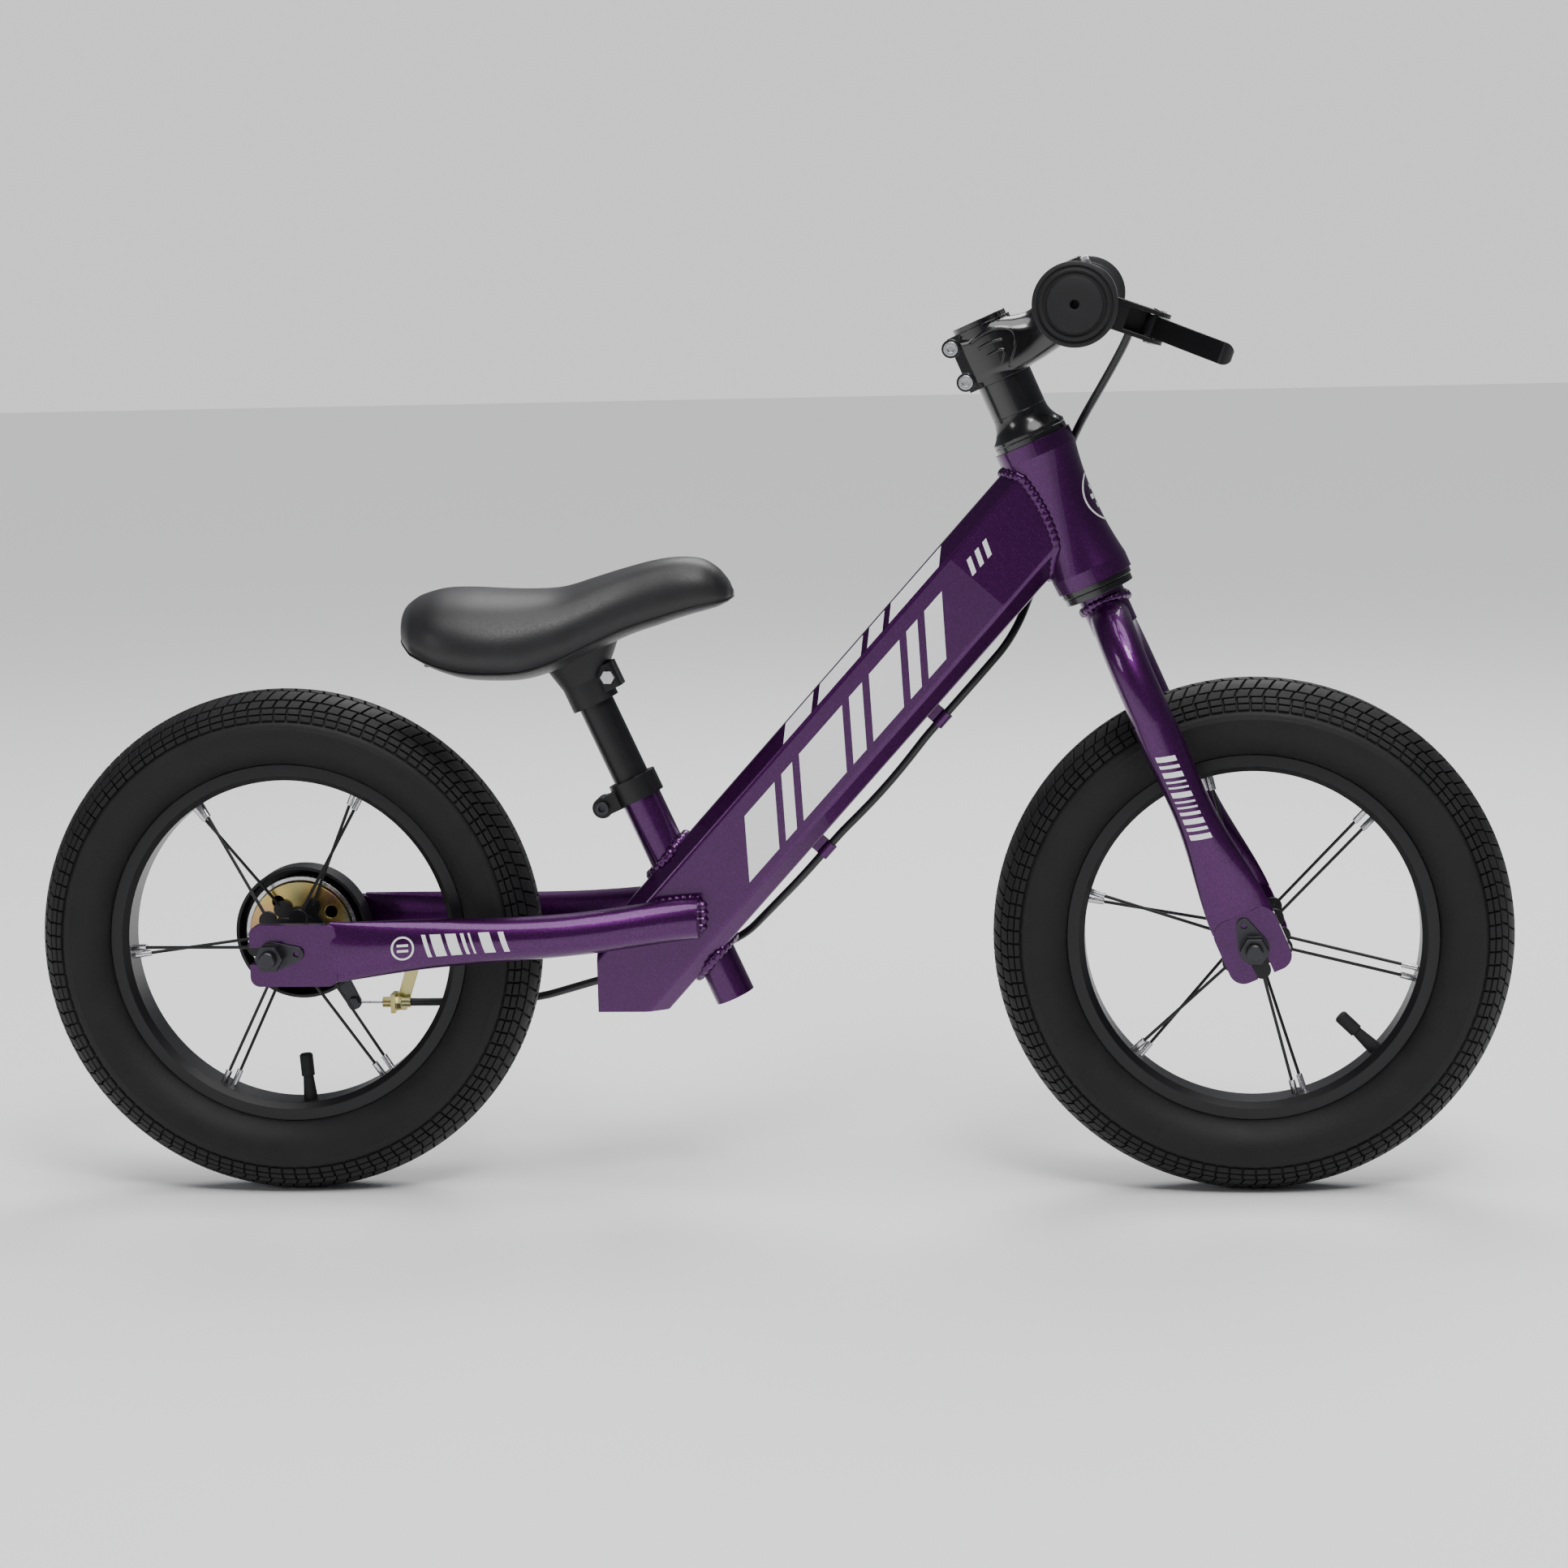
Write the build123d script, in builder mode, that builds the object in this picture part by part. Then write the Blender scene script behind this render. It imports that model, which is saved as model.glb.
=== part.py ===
from build123d import *

import os
from math import atan2, cos, degrees, radians, sin, tan

# Balance bike with 12 inch wheels and one band brake at the rear.
# Millimetres. +X is forward, +Y is the rider's left, +Z is up.
# The origin is on the ground, half-way between the two axles.

# ---- wheels -------------------------------------------------------------------
wheelbase = 596
tyre_radius = 158
tyre_height = 25
tyre_half_width = 28
tyre_wall = 2.8
tyre_centre_radius = tyre_radius - tyre_height
rim_flange_radius = 112.4
rim_inner_radius = 101.9
rim_half_width = 15
rim_flange_wall = 2.5
rim_floor_wall = 2.5
bead_wall = 2.9
tube_gap = 0.7
tube_wall = 1.2
spoke_pairs = 6
spoke_radius = 1.0
spoke_pair_spread = 1.6
spoke_rim_offset = 2.5
nipple_radius = 2.0
nipple_length = 12
front_spoke_angle = 46
rear_spoke_angle = 4
valve_radius = 4.2
valve_tip_radius = 73

# ---- hubs and axles -----------------------------------------------------------
axle_radius = 5
hub_barrel_radius = 13
hub_half_length = 24
hub_bore_radius = 7
hub_flange_offset = 20
hub_flange_thickness = 3
hub_star_radius = 17
hub_lobe_radius = 5.5
hub_spoke_circle = 19
bearing_radius = 10.5
bearing_width = 7
running_gap = 0.05
side_gap = 0.5
front_hub_width = 82
rear_hub_width = 100
dropout_thickness = 8
washer_thickness = 2
washer_radius = 9.2
washer_tab_reach = 15.5
nut_width = 15
nut_height = 9
axle_free_end = 5.4
cone_radius = 8
locknut_width = 15
locknut_height = 5

# ---- steering -----------------------------------------------------------------
head_angle = 66.8
steerer_radius = 14.3
steerer_wall = 2.4
steerer_bottom = 206
head_tube_bottom = 237
head_tube_length = 92.5
head_tube_end_radius = 24
head_tube_waist_radius = 20.5
head_tube_band = 9
head_tube_bore = steerer_radius + 2.7
cup_radius = 21.8
cup_depth = 9
cup_lip_height = 3.4
cup_lip_radius = 22.6
headset_bearing_radius = 19.3
headset_bearing_width = 7
race_height = 4
cone_height = 15.5
cone_top_radius = 16.8
spacer_height = 11
spacer_count = 2
spacer_radius = 16.8

# ---- fork ---------------------------------------------------------------------
fork_leg_radius = 12.2
fork_leg_offset = 45
fork_shoulder = 213
fork_straight_top = 150
fork_tip_width = 39.5
fork_tip_below = 18
fork_wall = 1.8
fork_tip_above = 22
axle_slot_gap = 0.25

# ---- stem and handlebar -------------------------------------------------------
stem_height = 35
stem_clamp_radius = 18.4
stem_stations = (
    (-15, 0, 28, 33, 6),
    (-4, 0, 37, 34.6, 8),
    (12, -0.2, 37, 34.2, 9),
    (27, -1.6, 31, 29.5, 12),
    (39, 1.2, 32, 31, 13),
    (52, 4.8, 36, 36, 15),
)
stem_reach = 62
stem_rise = 6.5
stem_clamp_half_width = 21
stem_bar_clamp_radius = 21
stem_slit = 2
stem_bolt_behind = 21.5
stem_cap_height = 3.2
bar_radius = 11.1
bar_centre_radius = 15.9
bar_centre_half = 26
bar_taper_end = 60
bar_half_length = 201
bar_wall = 2
grip_inner_end = 98
grip_outer_end = 207
grip_radius = 15
grip_flange_radius = 23.7
grip_inner_flange_radius = 21

# ---- brake lever --------------------------------------------------------------
lever_tilt = 20
lever_clamp_at = 89
lever_clamp_width = 11
lever_pivot_out = 92
lever_pivot_ahead = 46
lever_half_height = 6.2
lever_tip_ahead = 92.4
lever_jaw_gap = 0.4
lever_jaw_wall = 2.6
lever_blade_width = 6.4
adjuster_ahead = 34
adjuster_radius = 3.6
adjuster_length = 14

# ---- frame --------------------------------------------------------------------
main_tube_aim_x = -40
main_tube_aim_above = 26.363
main_tube_joint = 295.5
main_tube_height = 63
main_tube_width = 46
main_tube_bevel = 9
main_tube_wall = 2.5
main_tube_neck_width = 35
main_tube_neck_length = 70
main_tube_tail = -103
main_tube_floor = tyre_radius - 42.5
seat_angle = 66
seat_tube_foot_x = -20.3
seat_tube_foot_z = tyre_radius - 37
seat_tube_radius = 12.5
seat_tube_length = 149.5
stay_front = -38
stay_wall = 1.8
stay_tip = -wheelbase / 2 - 14
stay_tip_height = 38
stay_flat_start = -wheelbase / 2 + 36
guide_backs = (149, 257)
guide_length = 10
guide_drop = 7.7

# ---- seat ---------------------------------------------------------------------
post_radius = 11.1
post_wall = 2
post_bottom = 42
post_top = 238
collar_height = 14
collar_wall = 2.7
collar_bolt_along = 141
collar_bolt_behind = 23
saddle_clamp_bottom = 201
saddle_clamp_radius = 15
saddle_bolt_along = 213
saddle_bolt_ahead = 15.6
base_slope = 11
base_thickness = 4
saddle_boss_height = 12

# ---- rear brake ---------------------------------------------------------------
drum_radius = 32.5
drum_wall = 2
drum_depth = 16
drum_hole_radius = 4
drum_hole_circle = 24.2
band_gap = 0.7
band_thickness = 2.4
band_width = 11
cover_radius = 42
cover_wall = 2
cover_outer_face = 42
arm_pivot_ahead = 14
arm_pivot_below = 24
arm_thickness = 3
arm_reach_ahead = 13.5
arm_reach_below = 25.5
wire_radius = 0.8
cable_radius = 2.5
cable_stop_x = -wheelbase / 2 + 55

# ---- places worked out from the sizes above -----------------------------------
axle_height = tyre_radius
front_x = wheelbase / 2
rear_x = -wheelbase / 2
steer_up = Vector(-cos(radians(head_angle)), 0, sin(radians(head_angle)))
steer_ahead = Vector(sin(radians(head_angle)), 0, cos(radians(head_angle)))
front_axle_point = Vector(front_x, 0, axle_height)
steering_line = Axis(front_axle_point, steer_up)
steer_section = Plane(front_axle_point, x_dir=steer_ahead, z_dir=(0, -1, 0))
head_tube_top = head_tube_bottom + head_tube_length
cone_bottom = head_tube_top + cup_lip_height + side_gap
cone_top = cone_bottom + cone_height
stem_bottom = cone_top + spacer_count * spacer_height
stem_top = stem_bottom + stem_height
stem_bolt_heights = (stem_bottom + 7, stem_top - 6)
race_top = head_tube_bottom - cup_lip_height - side_gap
bar_along = stem_bottom + stem_height / 2 + stem_rise
seat_up = Vector(-cos(radians(seat_angle)), 0, sin(radians(seat_angle)))
seat_ahead = Vector(sin(radians(seat_angle)), 0, cos(radians(seat_angle)))
seat_foot = Vector(seat_tube_foot_x, 0, seat_tube_foot_z)
seat_line = Axis(seat_foot, seat_up)
main_tube_top = front_axle_point + steer_up * main_tube_joint
main_tube_angle = degrees(
    atan2(main_tube_top.Z - axle_height - main_tube_aim_above, main_tube_top.X - main_tube_aim_x)
)
tube_up = Vector(cos(radians(main_tube_angle)), 0, sin(radians(main_tube_angle)))
tube_normal = Vector(-sin(radians(main_tube_angle)), 0, cos(radians(main_tube_angle)))
stay_offset = rear_hub_width / 2 + dropout_thickness / 2
arm_y = cover_outer_face + 4


def on_fork(along, ahead=0, left=0):
    """Point on the steered parts: along the steering axis from the front axle."""
    return front_axle_point + steer_up * along + steer_ahead * ahead + Vector(0, left, 0)


def on_seat(along, ahead=0, left=0):
    """Point on the seat tube's line, measured up from the tube's foot."""
    return seat_foot + seat_up * along + seat_ahead * ahead + Vector(0, left, 0)


def on_main_tube(back, below=0, left=0):
    """Point on the main tube's line, measured back and down from the head tube."""
    return on_fork(main_tube_joint) - tube_up * back - tube_normal * below + Vector(0, left, 0)


def cable_on_tube(back, sag=0):
    """Point on the cable where it runs under the main tube."""
    return on_main_tube(back, main_tube_height / 2 + guide_drop + sag)


bar_point = on_fork(bar_along, stem_reach)
bar_line = Axis(bar_point, (0, 1, 0))
lever_ahead = Vector(cos(radians(lever_tilt)), 0, -sin(radians(lever_tilt)))
lever_normal = Vector(sin(radians(lever_tilt)), 0, cos(radians(lever_tilt)))
lever_plane = Plane(bar_point, x_dir=(0, -1, 0), z_dir=lever_normal)
adjuster_start = bar_point + lever_ahead * adjuster_ahead - Vector(0, lever_clamp_at - 9.5, 0)


def across_fork(along):
    """Plane square to the steering axis: local x is ahead, local y is left."""
    return Plane(on_fork(along), x_dir=steer_ahead, z_dir=steer_up)


def across_seat(along, ahead=0):
    """Plane square to the seat tube: local x is ahead, local y is left."""
    return Plane(on_seat(along, ahead), x_dir=seat_ahead, z_dir=seat_up)


def sideways(point, left):
    """Plane facing left at a given distance: local x is ahead, local y is up."""
    return Plane((point.X, left, point.Z), x_dir=(-1, 0, 0), z_dir=(0, 1, 0))


def side_rod(point, left, length, radius, mode=Mode.ADD):
    """Round rod from a left-hand face towards the right side."""
    with BuildSketch(sideways(point, left)) as face:
        Circle(radius)
    extrude(face.sketch, amount=-length, mode=mode)


def wheel_section(wheel_x):
    """Half-plane through an axle: local x is to the left, local y is outwards."""
    return Plane((wheel_x, 0, axle_height), x_dir=(0, 1, 0), z_dir=(1, 0, 0))


def axle_line(wheel_x):
    """The line a wheel turns on."""
    return Axis((wheel_x, 0, axle_height), (0, 1, 0))


def save(part, name):
    """Label a finished piece and write it."""
    part.label = name
    export_step(part, f"parts/{name}.step")


# ---- wheels -------------------------------------------------------------------
def make_tyre(name, wheel_x):
    """Hollow tyre whose two beads sit between the rim flanges."""
    bead_outer = rim_half_width - rim_flange_wall
    bead_foot = rim_inner_radius + rim_floor_wall
    with BuildPart() as tyre:
        with BuildSketch(wheel_section(wheel_x)):
            with Locations((0, tyre_centre_radius)):
                Ellipse(tyre_half_width, tyre_height)
                Ellipse(tyre_half_width - tyre_wall, tyre_height - tyre_wall, mode=Mode.SUBTRACT)
            with Locations((0, rim_flange_radius)):
                Rectangle(
                    2 * tyre_half_width,
                    tyre_height,
                    align=(Align.CENTER, Align.MAX),
                    mode=Mode.SUBTRACT,
                )
            with Locations((-bead_outer, bead_foot), (bead_outer - bead_wall, bead_foot)):
                Rectangle(bead_wall, rim_flange_radius - bead_foot, align=Align.MIN)
        revolve(axis=axle_line(wheel_x))
    save(tyre.part, name)


def make_inner_tube(name, wheel_x):
    """Air tube that fills the tyre."""
    across = tyre_half_width - tyre_wall - tube_gap
    high = tyre_height - tyre_wall - tube_gap
    with BuildPart() as inner_tube:
        with BuildSketch(wheel_section(wheel_x)):
            with Locations((0, tyre_centre_radius)):
                Ellipse(across, high)
                Ellipse(across - tube_wall, high - tube_wall, mode=Mode.SUBTRACT)
        revolve(axis=axle_line(wheel_x))
    save(inner_tube.part, name)


def spoke_ends(wheel_x, first_angle):
    """Hub end and rim end of every spoke: each pair goes to both hub flanges."""
    ends = []
    for pair in range(spoke_pairs):
        for side in (-1, 1):
            hub_angle = radians(first_angle + pair * 360 / spoke_pairs)
            rim_angle = hub_angle + radians(side * spoke_pair_spread)
            hub_end = Vector(
                wheel_x + hub_spoke_circle * cos(hub_angle),
                side * hub_flange_offset,
                axle_height + hub_spoke_circle * sin(hub_angle),
            )
            rim_end = Vector(
                wheel_x + rim_inner_radius * cos(rim_angle),
                side * spoke_rim_offset,
                axle_height + rim_inner_radius * sin(rim_angle),
            )
            ends.append((hub_end, rim_end))
    return ends


def add_rods(ends, radius, start, length, mode=Mode.ADD):
    """Round rods on the lines between pairs of points, begun at a distance."""
    for first, last in ends:
        direction = (last - first).normalized()
        with BuildSketch(Plane(first + direction * start, z_dir=direction)) as end_face:
            Circle(radius)
        extrude(end_face.sketch, amount=length, mode=mode)


def make_spokes(name, wheel_x, first_angle):
    """Twelve wires from the hub flanges to the nipples."""
    ends = spoke_ends(wheel_x, first_angle)
    length = (ends[0][1] - ends[0][0]).length - nipple_length + rim_floor_wall
    with BuildPart() as spokes:
        add_rods(ends, spoke_radius, 0, length)
    save(spokes.part, name)


def make_nipples(name, wheel_x, first_angle):
    """Twelve nipples, each seated in the rim's floor."""
    ends = spoke_ends(wheel_x, first_angle)
    start = (ends[0][1] - ends[0][0]).length - nipple_length + rim_floor_wall
    with BuildPart() as nipples:
        add_rods(ends, nipple_radius, start, nipple_length)
    save(nipples.part, name)


def make_rim(name, wheel_x, first_angle):
    """Channel rim with holes for the nipples and the valve."""
    ends = spoke_ends(wheel_x, first_angle)
    inside = rim_half_width - rim_flange_wall
    floor_radius = rim_inner_radius + rim_floor_wall
    valve_angle = radians(first_angle + 270)
    outwards = Vector(cos(valve_angle), 0, sin(valve_angle))
    with BuildPart() as rim:
        with BuildSketch(wheel_section(wheel_x)):
            with BuildLine():
                Polyline(
                    (-rim_half_width, rim_flange_radius),
                    (-rim_half_width, floor_radius + 1),
                    (-rim_half_width + 4, rim_inner_radius),
                    (rim_half_width - 4, rim_inner_radius),
                    (rim_half_width, floor_radius + 1),
                    (rim_half_width, rim_flange_radius),
                    (inside, rim_flange_radius),
                    (inside, floor_radius),
                    (-inside, floor_radius),
                    (-inside, rim_flange_radius),
                    close=True,
                )
            make_face()
        revolve(axis=axle_line(wheel_x))
        start = (ends[0][1] - ends[0][0]).length - nipple_length + rim_floor_wall
        add_rods(ends, nipple_radius, start, nipple_length, mode=Mode.SUBTRACT)
        with BuildSketch(Plane((wheel_x, 0, axle_height), z_dir=outwards)):
            Circle(valve_radius)
        extrude(amount=tyre_radius, mode=Mode.SUBTRACT)
    save(rim.part, name)


def make_valve(name, wheel_x, first_angle):
    """Rubber-covered valve stem with a ribbed cap, half-way between two spoke pairs."""
    valve_angle = radians(first_angle + 270)
    outwards = Vector(cos(valve_angle), 0, sin(valve_angle))
    foot = rim_inner_radius + rim_floor_wall + 1.5
    cap_length = 14
    with BuildPart() as valve:
        with BuildSketch(
            Plane((wheel_x, 0, axle_height), x_dir=(0, 1, 0), z_dir=outwards.cross(Vector(0, 1, 0)))
        ):
            with BuildLine():
                Polyline(
                    (0, -foot),
                    (valve_radius, -foot),
                    (valve_radius, -rim_inner_radius + 3),
                    (valve_radius - 1, -valve_tip_radius - cap_length),
                    (valve_radius, -valve_tip_radius - cap_length),
                    (valve_radius, -valve_tip_radius - 1),
                    (valve_radius - 1, -valve_tip_radius),
                    (0, -valve_tip_radius),
                    close=True,
                )
            make_face()
        revolve(axis=Axis((wheel_x, 0, axle_height), outwards))
    save(valve.part, name)


def make_hub(name, wheel_x, first_angle):
    """Hub barrel with two six-lobed flanges and a bearing seat at each end."""
    with BuildPart() as hub:
        with BuildSketch(Plane.XZ.offset(-hub_half_length)):
            with Locations((wheel_x, axle_height)):
                Circle(hub_barrel_radius)
        extrude(amount=2 * hub_half_length)
        for side in (-1, 1):
            flange_face = side * hub_flange_offset + hub_flange_thickness / 2
            with BuildSketch(Plane.XZ.offset(-flange_face)):
                with Locations((wheel_x, axle_height)):
                    Circle(hub_star_radius)
                    with PolarLocations(hub_spoke_circle, spoke_pairs, start_angle=first_angle):
                        Circle(hub_lobe_radius)
            extrude(amount=hub_flange_thickness)
        with BuildSketch(Plane.XZ.offset(-hub_half_length)):
            with Locations((wheel_x, axle_height)):
                Circle(hub_bore_radius)
        extrude(amount=2 * hub_half_length, mode=Mode.SUBTRACT)
        for end in (hub_half_length, bearing_width - hub_half_length):
            with BuildSketch(Plane.XZ.offset(-end)):
                with Locations((wheel_x, axle_height)):
                    Circle(bearing_radius)
            extrude(amount=bearing_width, mode=Mode.SUBTRACT)
        ends = spoke_ends(wheel_x, first_angle)
        add_rods(ends, spoke_radius, 0, hub_barrel_radius, mode=Mode.SUBTRACT)
    save(hub.part, name)


def make_hub_bearings(name, wheel_x):
    """Two bearings that run on the axle."""
    with BuildPart() as bearings:
        for end in (hub_half_length, bearing_width - hub_half_length):
            with BuildSketch(Plane.XZ.offset(-end)):
                with Locations((wheel_x, axle_height)):
                    Circle(bearing_radius)
                    Circle(axle_radius + running_gap, mode=Mode.SUBTRACT)
            extrude(amount=bearing_width)
    save(bearings.part, name)


def make_axle(name, wheel_x, hub_width):
    """Threaded axle, long enough for a washer, a nut and a free end on each side."""
    half = hub_width / 2 + dropout_thickness + washer_thickness + nut_height + axle_free_end
    with BuildPart() as axle:
        with BuildSketch(Plane.XZ.offset(-half)):
            with Locations((wheel_x, axle_height)):
                Circle(axle_radius)
        extrude(amount=2 * half)
        chamfer(axle.edges().filter_by(GeomType.CIRCLE), length=0.8)
    save(axle.part, name)


def ring_piece(wheel_x, face, thickness, radius, hex_width=None):
    """A disc or hexagon on the axle, from a face towards the right side."""
    with BuildSketch(Plane.XZ.offset(-face)) as ring:
        with Locations((wheel_x, axle_height)):
            if hex_width:
                RegularPolygon(hex_width / 2, 6, major_radius=False)
            else:
                Circle(radius)
            Circle(axle_radius, mode=Mode.SUBTRACT)
    extrude(ring.sketch, amount=thickness)


def make_axle_hardware(name, wheel_x, hub_width, tab_angle, left_inner):
    """Tab washers and nuts outside the dropouts, spacer cones and locknuts inside."""
    half = hub_width / 2
    outer = half + dropout_thickness
    right_inner = hub_half_length + side_gap
    tab_x = washer_tab_reach * cos(radians(tab_angle))
    tab_z = washer_tab_reach * sin(radians(tab_angle))
    with BuildPart() as hardware:
        for face in (outer + washer_thickness, -outer):
            with BuildSketch(Plane.XZ.offset(-face)):
                with Locations((wheel_x, axle_height)):
                    Circle(washer_radius)
                with Locations((wheel_x + tab_x, axle_height + tab_z)):
                    Circle(4.4)
                make_hull()
                with Locations((wheel_x, axle_height)):
                    Circle(axle_radius, mode=Mode.SUBTRACT)
                with Locations((wheel_x + tab_x, axle_height + tab_z)):
                    Circle(2, mode=Mode.SUBTRACT)
            extrude(amount=washer_thickness)
        for face in (outer + washer_thickness + nut_height, -outer - washer_thickness):
            ring_piece(wheel_x, face, nut_height, 0, nut_width)
        ring_piece(wheel_x, half, locknut_height, 0, locknut_width)
        ring_piece(wheel_x, half - locknut_height, half - locknut_height - left_inner, cone_radius)
        ring_piece(wheel_x, -half + locknut_height, locknut_height, 0, locknut_width)
        ring_piece(wheel_x, -right_inner, half - locknut_height - right_inner, cone_radius)
    save(hardware.part, name)


def make_wheel(side, wheel_x, first_angle):
    """All the pieces that one wheel has."""
    make_tyre(f"{side}_tyre", wheel_x)
    make_inner_tube(f"{side}_inner_tube", wheel_x)
    make_rim(f"{side}_rim", wheel_x, first_angle)
    make_spokes(f"{side}_spokes", wheel_x, first_angle)
    make_nipples(f"{side}_nipples", wheel_x, first_angle)
    make_valve(f"{side}_valve", wheel_x, first_angle)
    make_hub(f"{side}_hub", wheel_x, first_angle)
    make_hub_bearings(f"{side}_hub_bearings", wheel_x)


# ---- head tube and headset ----------------------------------------------------
def head_tube_solid(mode=Mode.ADD):
    """Waisted round body of the head tube, solid through."""
    middle = (head_tube_bottom + head_tube_top) / 2
    with BuildSketch(steer_section) as half_section:
        with BuildLine():
            Polyline(
                (head_tube_end_radius, head_tube_bottom + head_tube_band),
                (head_tube_end_radius, head_tube_bottom),
                (0, head_tube_bottom),
                (0, head_tube_top),
                (head_tube_end_radius, head_tube_top),
                (head_tube_end_radius, head_tube_top - head_tube_band),
            )
            ThreePointArc(
                (head_tube_end_radius, head_tube_top - head_tube_band),
                (head_tube_waist_radius, middle),
                (head_tube_end_radius, head_tube_bottom + head_tube_band),
            )
        make_face()
    revolve(half_section.sketch, axis=steering_line, mode=mode)


def steering_disc(along, height, radius, mode=Mode.ADD):
    """Round disc on the steering axis."""
    with BuildSketch(across_fork(along)) as disc:
        Circle(radius)
    extrude(disc.sketch, amount=height, mode=mode)


def make_head_tube():
    """Head tube with a pocket for a cup at each end."""
    with BuildPart() as head_tube:
        head_tube_solid()
        steering_disc(head_tube_bottom, head_tube_length, head_tube_bore, Mode.SUBTRACT)
        steering_disc(head_tube_bottom, cup_depth, cup_radius, Mode.SUBTRACT)
        steering_disc(head_tube_top - cup_depth, cup_depth, cup_radius, Mode.SUBTRACT)
    save(head_tube.part, "head_tube")


def make_headset_cups():
    """Two pressed cups, each with a lip outside the head tube."""
    bore = steerer_radius + 1
    with BuildPart() as cups:
        steering_disc(head_tube_bottom, cup_depth, cup_radius)
        steering_disc(head_tube_bottom - cup_lip_height, cup_lip_height, cup_lip_radius)
        steering_disc(head_tube_top - cup_depth, cup_depth, cup_radius)
        steering_disc(head_tube_top, cup_lip_height, cup_lip_radius)
        steering_disc(
            head_tube_bottom, headset_bearing_width, headset_bearing_radius, Mode.SUBTRACT
        )
        steering_disc(
            head_tube_top - headset_bearing_width,
            headset_bearing_width,
            headset_bearing_radius,
            Mode.SUBTRACT,
        )
        steering_disc(
            head_tube_bottom - cup_lip_height,
            head_tube_length + 2 * cup_lip_height,
            bore,
            Mode.SUBTRACT,
        )
    save(cups.part, "headset_cups")


def make_headset_bearings():
    """Two bearings that the steerer turns in."""
    with BuildPart() as bearings:
        for start in (head_tube_bottom, head_tube_top - headset_bearing_width):
            steering_disc(start, headset_bearing_width, headset_bearing_radius)
            steering_disc(
                start, headset_bearing_width, steerer_radius + running_gap, Mode.SUBTRACT
            )
    save(bearings.part, "headset_bearings")


def make_headset_cone():
    """Tall conical cover on top of the upper cup."""
    with BuildPart() as cone:
        with BuildSketch(steer_section):
            with BuildLine():
                Polyline(
                    (cone_top_radius, cone_top),
                    (steerer_radius, cone_top),
                    (steerer_radius, cone_bottom),
                    (cup_lip_radius, cone_bottom),
                    (cup_lip_radius, cone_bottom + 2),
                )
                ThreePointArc(
                    (cup_lip_radius, cone_bottom + 2),
                    (cone_top_radius + 2, cone_bottom + cone_height * 0.45),
                    (cone_top_radius, cone_top),
                )
            make_face()
        revolve(axis=steering_line)
    save(cone.part, "headset_cone")


def make_crown_race():
    """Ring on the fork that closes the lower cup."""
    with BuildPart() as race:
        steering_disc(race_top - race_height, race_height, cup_lip_radius - 1)
        steering_disc(race_top - race_height, race_height, steerer_radius, Mode.SUBTRACT)
    save(race.part, "crown_race")


def make_spacers():
    """Rings that set the stem's height."""
    with BuildPart() as spacers:
        for number in range(spacer_count):
            start = cone_top + number * spacer_height
            steering_disc(start, spacer_height, spacer_radius)
            steering_disc(start, spacer_height, steerer_radius, Mode.SUBTRACT)
    save(spacers.part, "spacers")


# ---- fork ---------------------------------------------------------------------
def make_steerer_tube():
    """Tube that turns in the head tube, closed by the crown at its foot."""
    with BuildPart() as steerer:
        steering_disc(steerer_bottom, stem_top - 2 - steerer_bottom, steerer_radius)
        steering_disc(
            steerer_bottom + 4,
            stem_top - steerer_bottom,
            steerer_radius - steerer_wall,
            Mode.SUBTRACT,
        )
    save(steerer.part, "steerer_tube")


def fork_leg_loft(side, shrink, mode=Mode.ADD):
    """Lower leg, round above and pressed flat towards the axle."""
    stations = (
        (fork_straight_top, fork_leg_radius, fork_leg_radius),
        (112, 12.2, 12.2),
        (80, 12.9, 11.6),
        (56, 15.6, 8.8),
        (34, 18.5, 5.2),
        (16, 19.7, 3.9),
    )
    faces = []
    for along, half_ahead, half_across in stations:
        middle = on_fork(along, 0, side * fork_leg_offset)
        with BuildSketch(Plane(middle, x_dir=steer_ahead, z_dir=steer_up)) as station:
            Ellipse(half_ahead - shrink, half_across - shrink)
        faces.append(station.sketch)
    loft(faces, mode=mode)


def fork_leg_sweep(side, radius, mode=Mode.ADD):
    """Upper leg, curved in to the steerer's foot."""
    first = on_fork(fork_shoulder, 0, 6 * side)
    second = on_fork(fork_shoulder - 4, 0, 32 * side)
    third = on_fork(fork_shoulder - 25, 0, fork_leg_offset * side)
    last = on_fork(fork_straight_top, 0, fork_leg_offset * side)
    with BuildLine() as path:
        Bezier(first, second, third, last)
    with BuildSketch(Plane(first, x_dir=steer_ahead, z_dir=second - first)) as profile:
        Circle(radius)
    sweep(profile.sketch, path=path.line, mode=mode)


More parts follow.
